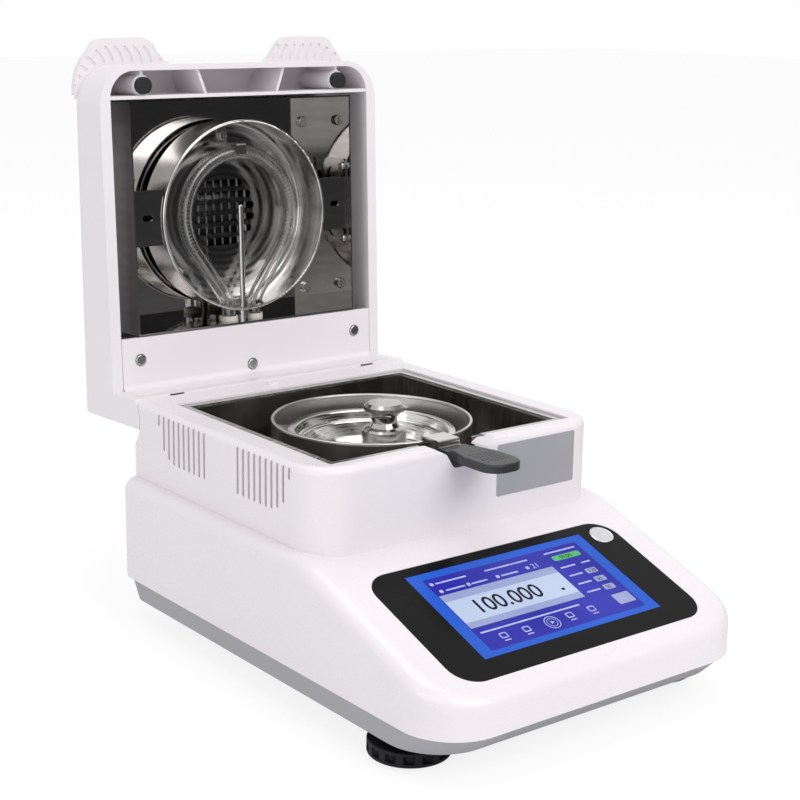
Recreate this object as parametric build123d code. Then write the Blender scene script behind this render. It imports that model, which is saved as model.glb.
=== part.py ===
from build123d import *
from math import cos, pi, radians, sin, sqrt, tan
import os

# Moisture analyzer with a halogen heater in a lid that folds up. All sizes are millimetres.
# While it is modelled, x = y = 0 is the weighing axis, y grows to the rear and z = 0 is the table.
# The lid is modelled closed and then turned open. At the end everything moves together, so that
# the origin is the middle of the footprint on the table.

# General thicknesses and clearances
WALL = 3.0
SHEET = 0.8
FIT = 0.3
RUNNING = 0.05
SNUG = 0.02

# Lower body and console
BODY_HALF = 93.0
FRONT_Y = -172.0
REAR_Y = 92.0
SKIRT_Z = 21.6
SHOULDER_Z = 74.5
FRONT_CORNER = 27.0
REAR_CORNER = 9.0
BODY_EDGE = 7.0
CREASE_R = 60.0
CONSOLE_TILT = 19.6
CONSOLE_Y = -123.2
CONSOLE_Z = 55.5

# Upper block around the weighing chamber
BLOCK_STEP = 7.0
BLOCK_HALF = BODY_HALF - BLOCK_STEP
BLOCK_FRONT_Y = -74.0
BLOCK_TOP_Z = 114.0
BLOCK_FRONT_CORNER = 19.4
BLOCK_REAR_CORNER = 8.0
BLOCK_EDGE = 4.0
NOTCH_BOTTOM_HALF = 8.0
NOTCH_KNEE_HALF = 12.5
NOTCH_TOP_HALF = 19.0
NOTCH_Z = 103.5
NOTCH_KNEE_Z = 110.5
NOTCH_CHEEK = 7.0

# Vent slots in both cheeks of the block
VENT_COUNT = 10
VENT_PITCH = 4.72
VENT_WIDTH = 1.7
VENT_LOW_Z = 88.6
VENT_TOP_Z = 111.6
VENT_CORNER = 17.4
VENT_REAR_START_Y = 61.8
VENT_FRONT_START_Y = -52.8

# Tray under the body
TRAY_Z = 12.0
TRAY_FLOOR = 2.5
TRAY_WALL = 2.5
TRAY_TOP_INSET = 0.8
TRAY_FRONT_UNDERCUT = 9.5
TRAY_REAR_INSET = 5.0
TRAY_REAR_UNDERCUT = 3.5
TRAY_LIP = 4.0

# Levelling feet at the front, fixed feet at the rear
FOOT_X = BODY_HALF - 18.0
FOOT_Y = -128.0
FOOT_WHEEL_R = 18.5
FOOT_WHEEL_TOP = 8.2
FOOT_FLANGE = 1.8
FOOT_SOLE_H = 1.4
FOOT_SOLE_R = 14.0
FOOT_STUD_R = 3.0
FOOT_STUD_TOP = 27.0
FOOT_FLUTES = 14
FOOT_FLUTE_R = 2.6
FOOT_NUT_R = 6.0
FOOT_NUT_H = 8.0
REAR_FOOT_X = 50.0
REAR_FOOT_Y = 71.0
REAR_FOOT_R = 10.0

# Chamber frame, liner, draft ring
CHEEK_T = 13.7
FRAME_HALF = BLOCK_HALF - CHEEK_T
FRAME_FRONT_Y = -65.3
FRAME_REAR_Y = 67.9
FRAME_BAND = 5.0
FRAME_TOP_Z = 113.0
FRAME_LIP = 5.0
LEDGE_DEPTH = 2.5
LEDGE_WIDTH = 3.0
LINER_GAP = 0.4
LINER_FLOOR_Z = 78.0
LINER_HOLE_R = 15.0
DRAFT_RING_R = 46.0
PILLAR_X = 19.5
PILLAR_Y = 44.0
PILLAR_R = 3.5

# Sample pan, its handler, the test weight
RING_R = 50.0
RING_WALL = 0.9
RING_TOP_Z = 111.0
RING_H = 20.0
RING_BEAD_R = 0.75
TAB_ANGLES = (40.0, 140.0, 270.0)
TAB_WIDTH = 14.0
PAN_RIM_R = 42.0
PAN_RIM_WIDTH = 3.4
PAN_RIM_Z = 105.0
PAN_STEP_Z = 100.4
PAN_STEP_R = 34.6
PAN_FLOOR_Z = 92.6
PAN_FLOOR_R = 32.6
PAN_SHEET = 0.6
PAN_RINGS = (12.0, 18.0, 24.0)
CLIP_HALF = 6.5
CLIP_TOP_Z = 113.0
CLIP_REACH = 10.0
CLIP_SHEET = 1.0
GRIP_HALF = 10.5
GRIP_TOP_Z = 111.3
GRIP_THICK = 4.0
GRIP_REAR_Y = -70.0
GRIP_LENGTH = 34.0
GRIP_DIMPLE_R = 0.7
WEIGHT_R = 11.0
WEIGHT_BODY_H = 15.0
WEIGHT_NECK_R = 6.5
WEIGHT_KNOB_R = 10.2
WEIGHT_TOP_Z = 120.6
WEIGHT_Y = -10.0

# Console panel, screen, button
PANEL_W = 147.0
PANEL_H = 75.5
PANEL_SHIFT = -2.9
PANEL_CORNER = 12.5
PANEL_T = 1.2
SCREEN_W = 106.5
SCREEN_H = 59.0
SCREEN_T = 3.0
SCREEN_SINK = 0.2
BUTTON_X = 64.0
BUTTON_S = 24.6
BUTTON_R = 6.1
BUTTON_H = 5.0
BUTTON_PROUD = 0.6
BUTTON_TRAVEL = 1.0

# Lid, modelled closed. The hinge axis runs along x.
HINGE_Y = 95.7
HINGE_Z = 103.8
LID_OPEN = 92.25
RECESS_R = 15.0
KNUCKLE_R = 14.4
LID_PLANE_Z = 116.0
LID_HALF = BLOCK_HALF
LID_FRONT_Y = -80.6
LID_REAR_Y = 100.5
LID_FRONT_TOP_Z = 150.0
LID_REAR_TOP_Z = 155.8
LID_CORNER = 20.0
LID_EDGE = 13.0
LID_SIDE_WALL = 6.0
LID_FRONT_WALL = 2.8
KNUCKLE_FRONT_Y = 85.5
EAR_TIP_Y = -94.2
EAR_TOP_Z = 147.1
EAR_THICK = 4.6
EAR_BASE_IN = LID_HALF - 58.6
EAR_TIP_IN = LID_HALF - 38.5
EAR_TIP_OUT = LID_HALF - 17.0
EAR_ROOT = 15.0
EAR_GROOVES = 6
EAR_GROOVE_PITCH = 5.6
EAR_CORNER_GROOVES = 5
EAR_GROOVE_R = 0.9
LID_RIB_Y = -63.5
LID_RIB_T = 1.8
PAD_X = LID_HALF - 25.2
PAD_Y = -70.3
PAD_R = 4.3
PAD_PROUD = 1.7
GRILLE_SLOT_COUNT = 9
GRILLE_SLOT_PITCH = 5.0
GRILLE_SLOT_W = 2.4
GRILLE_R = 27.0

# Hinge hardware
HINGE_X = LID_HALF - 25.0
HINGE_PIN_R = 2.0
HINGE_EYE_R = 4.4
HINGE_EYE_T = 8.0
HINGE_CHEEK_T = 3.6
HINGE_BUSH_R = 2.9
ARM_HALF = 3.6
ARM_LEAN = 31.0
ARM_REACH = 22.0
ARM_FOOT_Z = 62.0
ARM_PLATE_HALF = 11.0
ARM_PLATE_T = 4.0

# Hinge cover
COVER_FRONT_Y = 58.5
COVER_T = 2.5
COVER_SCREW_X = LID_HALF - 17.0
COVER_SCREWS = ((-COVER_SCREW_X, 70.3), (0.0, 80.9), (COVER_SCREW_X, 70.3))
COVER_SINK_R = 3.3

# Heater: steel box, dish, lamp, probe
BOX_SIDE_GAP = 11.0
BOX_HALF = LID_HALF - LID_SIDE_WALL - BOX_SIDE_GAP
BOX_FRONT_Y = -62.0
BOX_REAR_Y = 58.0
BOX_PLANE_Z = 116.6
BOX_DEPTH = 29.4
BOX_PORT_R = 26.0
DISH_R = 50.5
DISH_RIM_Z = 118.0
DISH_FLOOR_Z = 141.0
DISH_SLOTS = 6
DISH_SLOT_PITCH = 6.3
DISH_SLOT_H = 3.9
DISH_GRILLE_R = 20.0
LAMP_Z = 126.0
LAMP_R = 33.5
LAMP_TUBE_R = 4.0
LAMP_GLASS = 1.0
LAMP_BREAK = 55.0
LAMP_LEG_X = 8.0
LAMP_LEG_BEND = 20.0
LAMP_END_Y = 57.0
FILAMENT_R = 0.9
CAP_R = 4.9
CAP_LENGTH = 9.0
DISH_SCREWS = ((0.0, -41.5), (30.0, -30.0), (-30.0, 30.0))
CLIP_STRIP = 0.6
PROBE_R = 1.5
PROBE_Z = 124.0
FERRULE_R = 2.2
FERRULE_HEX_R = 2.8
PROBE_TIP_Y = -5.5
BRACKET_HALF = 14.5
BRACKET_Y = -2.5
BRACKET_SCREW_HALF = 20.3
BRACKET_SCREW_Z = 122.2
BOX_SCREW_X = BOX_HALF - 13.0
BOX_SCREW_Y = 47.0
SCREW_HEAD_R = 3.0
SCREW_HEAD_H = 1.9
SCREW_SHANK_R = 1.5

# Inside the body
BEAM_LENGTH = 80.0
BEAM_HEIGHT = 22.0
BEAM_WIDTH = 24.0
BEAM_Z = 32.0
BEAM_BORE_R = 6.5
SPINDLE_R = 3.0
SUPPORT_ARM = 24.0
BOARD_T = 1.6
BOARD_EDGE = BODY_HALF - 15.0
BOARD_GAP = 24.0
BOARD_LIFT = 6.0
STANDOFF_R = 3.0

# Rear sockets and switch
SOCKET_X = -52.0
SOCKET_Z = 46.0
SWITCH_X = -8.0
SWITCH_Z = 46.0
SERIAL_X = 42.0
SERIAL_Z = 46.0

# Dome that feels the closed lid, clear of the middle cover screw
SENSOR_R = 3.4
SENSOR_RISE = 1.5
SENSOR_X = -8.0
SENSOR_Y = 76.5

HINGE_AXIS = Axis((0, HINGE_Y, HINGE_Z), (1, 0, 0))
LID_TAPER = (LID_REAR_TOP_Z - LID_FRONT_TOP_Z) / (LID_REAR_Y - LID_FRONT_Y)
CONSOLE = Plane(
    origin=(0, CONSOLE_Y, CONSOLE_Z),
    x_dir=(1, 0, 0),
    z_dir=(0, -sin(radians(CONSOLE_TILT)), cos(radians(CONSOLE_TILT))),
)
nodes = {}


def block(x, y, z):
    """Box from three (low, high) pairs."""
    size = (x[1] - x[0], y[1] - y[0], z[1] - z[0])
    return Pos((x[0] + x[1]) / 2, (y[0] + y[1]) / 2, (z[0] + z[1]) / 2) * Box(*size)


def rod_z(radius, z, x=0.0, y=0.0):
    """Upright cylinder between two heights."""
    return Pos(x, y, (z[0] + z[1]) / 2) * Cylinder(radius, z[1] - z[0])


def rod_x(radius, x, y, z):
    """Cylinder along x."""
    return Pos((x[0] + x[1]) / 2, y, z) * Rot(0, 90, 0) * Cylinder(radius, x[1] - x[0])


def rod_y(radius, y, x, z):
    """Cylinder along y."""
    return Pos(x, (y[0] + y[1]) / 2, z) * Rot(90, 0, 0) * Cylinder(radius, y[1] - y[0])


def mirrored(shape):
    """A shape and its twin on the other side of x = 0."""
    return shape + mirror(shape, about=Plane.YZ)


def outline(half, y, front_radius, rear_radius):
    """Rounded rectangle, symmetric in x, with its own front and rear corner radii."""
    face = Pos(0, (y[0] + y[1]) / 2) * Rectangle(2 * half, y[1] - y[0])
    face = fillet(face.vertices().group_by(Axis.Y)[0], front_radius)
    return fillet(face.vertices().group_by(Axis.Y)[-1], rear_radius)


def side_profile(points, half):
    """Closed (y, z) outline drawn on the middle plane and extruded to both sides."""
    face = Plane.YZ * make_face(Polyline(*points, close=True))
    return extrude(face, amount=half, both=True)


def perimeter_edges(faces):
    """Edges of some faces that no two of them share."""
    edges = [edge for face in faces for edge in face.edges()]
    return [e for e in edges if sum(e.is_same(other) for other in edges) == 1]


def console_height(y):
    """Height of the console plane at a depth y."""
    return CONSOLE_Z + (y - CONSOLE_Y) * tan(radians(CONSOLE_TILT))


def lid_top(y):
    """Height of the closed lid's upper face at a depth y."""
    return LID_FRONT_TOP_Z + (y - LID_FRONT_Y) * LID_TAPER


def opened(shape):
    """Turn a piece of the closed lid to the open position, in which the part is stored."""
    return shape.rotate(HINGE_AXIS, -LID_OPEN)


def screw(length, head=SCREW_HEAD_R, shank=SCREW_SHANK_R):
    """Pan-head screw with a cross recess. Its head lies under z = 0 and its shank points to +z."""
    body = Cylinder(head, SCREW_HEAD_H, align=(Align.CENTER, Align.CENTER, Align.MAX))
    body = fillet(body.edges().sort_by(Axis.Z)[0], 0.7)
    body += Cylinder(shank, length, align=(Align.CENTER, Align.CENTER, Align.MIN))
    for turn in (0, 90):
        body -= Pos(0, 0, -SCREW_HEAD_H) * Rot(0, 0, turn) * Box(head * 1.1, 0.7, 1.2)
    return body


# Body shell

def lower_form(inset):
    """Lower body with the sloping console, shrunk by an inset for the inside of the shell."""
    top = SHOULDER_Z - inset
    plan = outline(
        BODY_HALF - inset, (FRONT_Y + inset, REAR_Y - inset),
        FRONT_CORNER - inset, REAR_CORNER - inset,
    )
    column = extrude(Pos(0, 0, SKIRT_Z) * plan, top - SKIRT_Z)
    drop = inset / cos(radians(CONSOLE_TILT))
    crease_y = CONSOLE_Y + (top + drop - CONSOLE_Z) / tan(radians(CONSOLE_TILT))
    ahead = FRONT_Y - 10
    behind = REAR_Y + 10
    wedge = side_profile(
        [(ahead, console_height(ahead) - drop), (crease_y, top), (behind, top),
         (behind, SKIRT_Z - 1), (ahead, SKIRT_Z - 1)],
        BODY_HALF + 1,
    )
    crease = [e for e in wedge.edges() if abs(e.center().Y - crease_y) < 0.01]
    wedge = fillet(crease, CREASE_R)
    body = column & wedge
    roof = [f for f in body.faces() if f.normal_at().Z > 0.5]
    return fillet(perimeter_edges(roof), BODY_EDGE - inset)


def upper_form(inset):
    """Upper block, shrunk by an inset for the inside of the shell."""
    plan = outline(
        BLOCK_HALF - inset, (BLOCK_FRONT_Y + inset, REAR_Y - inset),
        BLOCK_FRONT_CORNER - inset, BLOCK_REAR_CORNER - inset,
    )
    body = extrude(Pos(0, 0, SKIRT_Z + 10) * plan, BLOCK_TOP_Z - inset - SKIRT_Z - 10)
    return fillet(body.faces().sort_by(Axis.Z)[-1].edges(), BLOCK_EDGE - inset)


def vent_depth(step):
    """Lower end of a vent slot, counted from the slot at the group's rounded end."""
    run = max(0.0, VENT_CORNER - step * VENT_PITCH)
    return VENT_LOW_Z + VENT_CORNER - sqrt(VENT_CORNER ** 2 - run ** 2)


def vent_slots():
    """Two groups of upright slots in each cheek, with one rounded lower corner a group."""
    cutter = None
    groups = ((VENT_REAR_START_Y, -VENT_PITCH), (VENT_FRONT_START_Y, VENT_PITCH))
    for start, pitch in groups:
        for step in range(VENT_COUNT):
            y = start + step * pitch
            low = vent_depth(step)
            slot = Pos(0, y, (low + VENT_TOP_Z) / 2) * Rot(0, 90, 0)
            slot *= extrude(
                SlotOverall(VENT_TOP_Z - low, VENT_WIDTH), amount=BLOCK_HALF + 1, both=True)
            cutter = slot if cutter is None else cutter + slot
    middle = block(
        (-BLOCK_HALF + 2 * WALL, BLOCK_HALF - 2 * WALL), (BLOCK_FRONT_Y, REAR_Y),
        (TRAY_Z, BLOCK_TOP_Z + 1))
    return cutter - middle


def notch_cutter(depth):
    """Notch for the pan handler's arm in the block's front wall."""
    half = [
        (NOTCH_BOTTOM_HALF, NOTCH_Z), (NOTCH_KNEE_HALF, NOTCH_KNEE_Z),
        (NOTCH_TOP_HALF, BLOCK_TOP_Z), (NOTCH_TOP_HALF, BLOCK_TOP_Z + 5),
    ]
    points = half + [(-x, z) for x, z in reversed(half)]
    face = make_face(Polyline(*points, close=True))
    knees = [v for v in face.vertices() if v.Y < BLOCK_TOP_Z - 1]
    face = fillet(knees, 2.5)
    cutter = extrude(Plane.XZ * face, amount=depth)
    return Pos(0, BLOCK_FRONT_Y - 1 + depth, 0) * cutter


def chamber_box(grow, z):
    """Plain box on the chamber frame's outline, grown or shrunk in plan."""
    return block(
        (-FRAME_HALF - grow, FRAME_HALF + grow), (FRAME_FRONT_Y - grow, FRAME_REAR_Y + grow), z)


def hinge_arm(grow):
    """Arm of the body's hinge bracket, leaning from its eye down into the body."""
    lean = radians(ARM_LEAN)
    half = ARM_HALF + grow
    knee_y = HINGE_Y - ARM_REACH * sin(lean)
    knee_z = HINGE_Z - ARM_REACH * cos(lean)
    across = (half * cos(lean), -half * sin(lean))
    points = [
        (HINGE_Y - across[0], HINGE_Z - across[1]), (HINGE_Y + across[0], HINGE_Z + across[1]),
        (knee_y + half, knee_z), (knee_y + half, ARM_FOOT_Z), (knee_y - half, ARM_FOOT_Z),
        (knee_y - half, knee_z),
    ]
    thick = HINGE_EYE_T / 2 + grow
    return Pos(HINGE_X, 0, 0) * side_profile(points, thick)


def panel_plan(grow, height, base):
    """Prism on the console panel's outline, from a depth under the console plane."""
    face = Pos(0, PANEL_SHIFT) * RectangleRounded(
        PANEL_W + 2 * grow, PANEL_H + 2 * grow, PANEL_CORNER + grow)
    return CONSOLE * (Pos(0, 0, base) * extrude(face, height))


def rear_cutouts():
    """Openings for the mains socket, the rocker switch and the serial port."""
    through = (REAR_Y - 2 * WALL, REAR_Y + 1)
    cut = block((SOCKET_X - 14, SOCKET_X + 14), through, (SOCKET_Z - 12, SOCKET_Z + 12))
    cut += block((SWITCH_X - 7.2, SWITCH_X + 7.2), through, (SWITCH_Z - 10.7, SWITCH_Z + 10.7))
    cut += block((SERIAL_X - 10, SERIAL_X + 10), through, (SERIAL_Z - 5.6, SERIAL_Z + 5.6))
    return cut


def make_housing():
    outer = lower_form(0) + upper_form(0)
    core = rod_x(RECESS_R + WALL, (-BODY_HALF, BODY_HALF), HINGE_Y, HINGE_Z)
    inner = lower_form(WALL) + upper_form(WALL) - core
    inner += extrude(
        Pos(0, 0, SKIRT_Z - 1) * outline(
            BODY_HALF - WALL, (FRONT_Y + WALL, REAR_Y - WALL),
            FRONT_CORNER - WALL, REAR_CORNER - WALL), 2)
    shell = outer - inner
    ledge_top = FRAME_TOP_Z - SHEET
    ledge = chamber_box(WALL + FIT, (ledge_top - LEDGE_DEPTH, BLOCK_TOP_Z - 1))
    cheek_half = NOTCH_TOP_HALF + NOTCH_CHEEK
    cheeks = block(
        (-cheek_half, cheek_half), (BLOCK_FRONT_Y + 1, FRAME_FRONT_Y),
        (NOTCH_Z - NOTCH_CHEEK, BLOCK_TOP_Z - 1))
    shell += ledge
    shell += cheeks
    shell -= chamber_box(FIT, (ledge_top, BLOCK_TOP_Z + 1))
    shell -= chamber_box(-LEDGE_WIDTH, (LINER_FLOOR_Z, BLOCK_TOP_Z + 1))
    shell -= notch_cutter(FRAME_FRONT_Y - BLOCK_FRONT_Y + FRAME_BAND)
    shell -= rod_x(RECESS_R, (-BODY_HALF, BODY_HALF), HINGE_Y, HINGE_Z)
    shell -= vent_slots()
    shell -= mirrored(hinge_arm(FIT))
    shell -= panel_plan(FIT, 10, -PANEL_T - 0.2)
    window = extrude(Rectangle(SCREEN_W + 2, SCREEN_H + 2), 30, both=True)
    shell -= CONSOLE * window
    shell -= CONSOLE * (Pos(BUTTON_X, BUTTON_S, 0) * Cylinder(BUTTON_R + 1.2, 30))
    shell -= rear_cutouts()
    for x, y in housing_posts():
        post = rod_z(4.2, (TRAY_Z + TRAY_FLOOR + 4, SHOULDER_Z - WALL + 1), x, y)
        post -= rod_z(SCREW_SHANK_R, (TRAY_Z, TRAY_Z + TRAY_FLOOR + 20), x, y)
        if y < BLOCK_FRONT_Y:
            post = post & lower_form(WALL / 2)
        shell += post
    return shell


def housing_posts():
    """Places of the screw posts that hold the tray to the shell."""
    side = BODY_HALF - WALL - 7
    return [(sx * side, y) for sx in (-1, 1) for y in (FRONT_Y + 62, REAR_Y - 16)]


def make_tray():
    top_front = FRONT_Y + TRAY_TOP_INSET
    top_rear = REAR_Y - TRAY_REAR_INSET
    half = BODY_HALF - TRAY_TOP_INSET
    top = outline(half, (top_front, top_rear), FRONT_CORNER, REAR_CORNER)
    low = outline(
        half, (top_front + TRAY_FRONT_UNDERCUT, top_rear - TRAY_REAR_UNDERCUT),
        FRONT_CORNER, REAR_CORNER + 3)
    inner_top = outline(
        half - TRAY_WALL, (top_front + TRAY_WALL, top_rear - TRAY_WALL),
        FRONT_CORNER - TRAY_WALL, REAR_CORNER - TRAY_WALL)
    inner_low = outline(
        half - TRAY_WALL,
        (top_front + TRAY_FRONT_UNDERCUT + TRAY_WALL, top_rear - TRAY_REAR_UNDERCUT - TRAY_WALL),
        FRONT_CORNER - TRAY_WALL, REAR_CORNER + 3 - TRAY_WALL)
    tray = loft([Pos(0, 0, TRAY_Z) * low, Pos(0, 0, SKIRT_Z - FIT) * top])
    well = loft([
        Pos(0, 0, TRAY_Z + TRAY_FLOOR) * inner_low, Pos(0, 0, SKIRT_Z + 1) * inner_top])
    tray -= well
    lip_outer = outline(
        BODY_HALF - WALL - FIT, (FRONT_Y + WALL + FIT, top_rear - FIT),
        FRONT_CORNER - WALL, REAR_CORNER - WALL)
    lip_inner = outline(
        BODY_HALF - WALL - FIT - 1.5, (FRONT_Y + WALL + FIT + 1.5, top_rear - FIT - 1.5),
        FRONT_CORNER - WALL - 1.5, REAR_CORNER - WALL - 1.5)
    lip = extrude(Pos(0, 0, SKIRT_Z - FIT - 1.5) * lip_outer, TRAY_LIP)
    tray += lip - extrude(Pos(0, 0, SKIRT_Z - FIT - 2) * lip_inner, TRAY_LIP + 1)
    floor_z = TRAY_Z + TRAY_FLOOR
    for side in (-1, 1):
        x = side * FOOT_X
        tray += rod_z(FOOT_NUT_R + 2.5, (floor_z - 1, floor_z + FOOT_NUT_H), x, FOOT_Y)
        tray -= rod_z(FOOT_NUT_R + SNUG, (floor_z, floor_z + FOOT_NUT_H + 1), x, FOOT_Y)
        tray -= rod_z(FOOT_STUD_R + 0.6, (TRAY_Z - 1, floor_z + 1), x, FOOT_Y)
        rear = side * REAR_FOOT_X
        tray -= rod_z(SCREW_SHANK_R + 0.1, (TRAY_Z - 1, floor_z + 1), rear, REAR_FOOT_Y)
    for x, y in housing_posts():
        tray += rod_z(5.5, (floor_z - 1, floor_z + 4 - FIT), x, y)
        tray -= rod_z(SCREW_SHANK_R + 0.2, (TRAY_Z - 1, floor_z + 6), x, y)
        tray -= rod_z(SCREW_HEAD_R + 0.4, (TRAY_Z - 1, TRAY_Z + SCREW_HEAD_H + 0.4), x, y)
    return tray


# Weighing chamber

def make_frame():
    low = FRAME_TOP_Z - SHEET
    band = chamber_box(0, (low, FRAME_TOP_Z)) - chamber_box(-FRAME_BAND, (low - 1, FRAME_TOP_Z + 1))
    lip = chamber_box(-FRAME_BAND + SHEET, (low - FRAME_LIP, FRAME_TOP_Z))
    lip -= chamber_box(-FRAME_BAND, (low - FRAME_LIP - 1, FRAME_TOP_Z + 1))
    frame = band + lip
    return frame - block(
        (-NOTCH_TOP_HALF, NOTCH_TOP_HALF), (FRAME_FRONT_Y - 1, 0), (NOTCH_Z, BLOCK_TOP_Z + 1))


def make_liner():
    shrink = -FRAME_BAND - LINER_GAP
    top = FRAME_TOP_Z - SHEET - FIT
    liner = chamber_box(shrink, (LINER_FLOOR_Z, top))
    liner -= chamber_box(shrink - SHEET, (LINER_FLOOR_Z + SHEET, top + 1))
    liner -= rod_z(LINER_HOLE_R, (LINER_FLOOR_Z - 1, LINER_FLOOR_Z + 2))
    slot_cut = block(
        (-NOTCH_KNEE_HALF - 2, NOTCH_KNEE_HALF + 2), (FRAME_FRONT_Y, 0), (NOTCH_Z - 1, top + 1))
    liner -= slot_cut
    for angle in range(0, 360, 30):
        hole = Rot(0, 0, angle + 15) * Pos(56, 0, LINER_FLOOR_Z)
        liner -= hole * extrude(SlotOverall(12, 3), 4, both=True)
    return liner


def make_liner_feet():
    """Pillars that carry the liner on the tray."""
    pillars = None
    for x in (-PILLAR_X, PILLAR_X):
        for y in (-PILLAR_Y, PILLAR_Y):
            pillar = rod_z(PILLAR_R, (TRAY_Z + TRAY_FLOOR, LINER_FLOOR_Z), x, y)
            pillars = pillar if pillars is None else pillars + pillar
    return pillars


def make_draft_ring():
    low = LINER_FLOOR_Z + SHEET
    high = RING_TOP_Z - RING_H - FIT
    ring = rod_z(DRAFT_RING_R, (low, high)) - rod_z(DRAFT_RING_R - SHEET, (low - 1, high + 1))
    seat = rod_z(RING_R + 0.5, (high - SHEET, high))
    seat -= rod_z(DRAFT_RING_R - SHEET, (high - 2, high + 1))
    return ring + seat


def make_ring():
    low = RING_TOP_Z - RING_H
    wall_mid = RING_R - RING_WALL / 2
    section = Pos(wall_mid, (low + RING_TOP_Z) / 2) * Rectangle(RING_WALL, RING_H)
    section += Pos(wall_mid, RING_TOP_Z - RING_BEAD_R) * Circle(RING_BEAD_R)
    ring = revolve(Plane.XZ * section, Axis.Z)
    shelf = rod_z(RING_R - RING_WALL / 2, tab_heights())
    shelf -= rod_z(PAN_RIM_R - PAN_RIM_WIDTH + 0.6, (low, RING_TOP_Z))
    for angle in TAB_ANGLES:
        wedge = Rot(0, 0, angle) * block((0, RING_R), (-TAB_WIDTH / 2, TAB_WIDTH / 2), tab_heights())
        ring += shelf & wedge
    return ring


def tab_heights():
    high = PAN_RIM_Z - PAN_SHEET - FIT
    return (high - SHEET, high)


def strip_profile(points, thickness, radius):
    """Bent sheet section: a rounded path thickened to both sides."""
    path = FilletPolyline(*points, radius=radius)
    return make_face(offset(path, amount=thickness / 2, kind=Kind.INTERSECTION).edges())


def make_clip():
    """Folded strip that hooks over the ring and carries the grip."""
    top = CLIP_TOP_Z - CLIP_SHEET / 2
    inner = -RING_R + RING_WALL + FIT + CLIP_SHEET
    shelf_z = GRIP_TOP_Z - GRIP_THICK / 2
    points = [
        (inner, tab_heights()[1] + 0.8), (inner, top), (-RING_R - CLIP_REACH, top),
        (-RING_R - CLIP_REACH, shelf_z), (GRIP_REAR_Y - 8, shelf_z),
    ]
    face = strip_profile(points, CLIP_SHEET, 0.9)
    clip = extrude(Plane.YZ * face, amount=CLIP_HALF, both=True)
    for x in (-3.5, 3.5):
        clip += rod_y(1.2, (-RING_R + RING_WALL + 0.3, inner + 1.2), x, RING_TOP_Z - 3.6)
    return clip


def make_grip():
    rear = GRIP_REAR_Y
    front = rear - GRIP_LENGTH
    neck = CLIP_HALF + 1.5
    low = GRIP_TOP_Z - GRIP_THICK
    points = [(-neck, rear), (-neck, rear - 4), (-GRIP_HALF, rear - 12), (-GRIP_HALF, front)]
    points += [(-x, y) for x, y in reversed(points)]
    face = make_face(Polyline(*points, close=True))
    tips = face.vertices().group_by(Axis.Y)[0]
    face = fillet(tips, GRIP_HALF * 0.8)
    grip = extrude(Pos(0, 0, low) * face, GRIP_THICK)
    grip = fillet(grip.faces().sort_by(Axis.Z)[-1].edges(), 1.0)
    root_low = NOTCH_Z + FIT + 0.4
    root = block((-neck, neck), (rear - 5, rear + 8), (root_low, GRIP_TOP_Z - 1.2))
    root = fillet(root.edges().filter_by(Axis.X), 1.0)
    grip += root
    shelf_z = GRIP_TOP_Z - GRIP_THICK / 2
    pocket_half = CLIP_SHEET / 2 + SNUG
    grip -= block(
        (-CLIP_HALF - SNUG, CLIP_HALF + SNUG), (rear - 8.5, rear + 9),
        (shelf_z - pocket_half, shelf_z + pocket_half))
    for row in range(6):
        for col in range(7):
            x = (col - 3) * 2.0 + (row % 2) * 1.0 - 0.5
            y = rear - 13 - row * 2.4
            grip -= Pos(x, y, GRIP_TOP_Z + 0.35) * Sphere(GRIP_DIMPLE_R)
    return grip


def make_pan():
    """Stepped dish with a flat rim, pressed from thin sheet."""
    mid = PAN_SHEET / 2
    floor = PAN_FLOOR_Z - mid
    rim = PAN_RIM_Z - mid
    inner = PAN_RIM_R - PAN_RIM_WIDTH
    points = [
        (0, floor), (PAN_FLOOR_R, floor), (PAN_STEP_R, PAN_STEP_Z - mid),
        (inner - 1.2, PAN_STEP_Z - mid), (inner, rim), (PAN_RIM_R - mid, rim),
    ]
    path = FilletPolyline(*points, radius=0.8)
    band = make_face(offset(path, amount=mid, kind=Kind.INTERSECTION).edges())
    band &= Pos(PAN_RIM_R / 2, (floor + rim) / 2) * Rectangle(PAN_RIM_R, 40)
    pan = revolve(Plane.XZ * band, Axis.Z)
    for radius in PAN_RINGS:
        pan += Pos(0, 0, PAN_FLOOR_Z - 0.15) * Torus(radius, 0.4)
    return pan


def make_weight():
    base = PAN_FLOOR_Z + FIT
    shoulder = base + WEIGHT_BODY_H
    top = WEIGHT_TOP_Z
    points = [
        (0, base), (WEIGHT_R - 0.6, base), (WEIGHT_R, base + 0.6), (WEIGHT_R, shoulder - 1.0),
        (WEIGHT_R - 1.0, shoulder), (WEIGHT_NECK_R + 1.2, shoulder + 0.8),
        (WEIGHT_NECK_R, shoulder + 3.0), (WEIGHT_NECK_R, top - 7.0),
        (WEIGHT_NECK_R + 1.6, top - 5.0), (WEIGHT_KNOB_R, top - 3.4),
        (WEIGHT_KNOB_R, top - 1.6), (WEIGHT_KNOB_R - 1.6, top), (0, top),
    ]
    body = revolve(Plane.XZ * make_face(Polyline(*points, close=True)), Axis.Z)
    return Pos(0, WEIGHT_Y, 0) * body


def make_support():
    """Three-armed carrier under the pan on the load cell's spindle."""
    high = PAN_FLOOR_Z - PAN_SHEET - FIT
    hub = rod_z(7.0, (high - 5, high - 1))
    support = hub + rod_z(SPINDLE_R, (BEAM_Z + BEAM_HEIGHT, high - 4))
    for angle in (90, 210, 330):
        arm = block((0, SUPPORT_ARM), (-2.2, 2.2), (high - 4, high - 2))
        tip = rod_z(2.6, (high - 4, high), SUPPORT_ARM, 0)
        support += Rot(0, 0, angle) * (arm + tip)
    return support


# Weighing cell and electronics

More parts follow.
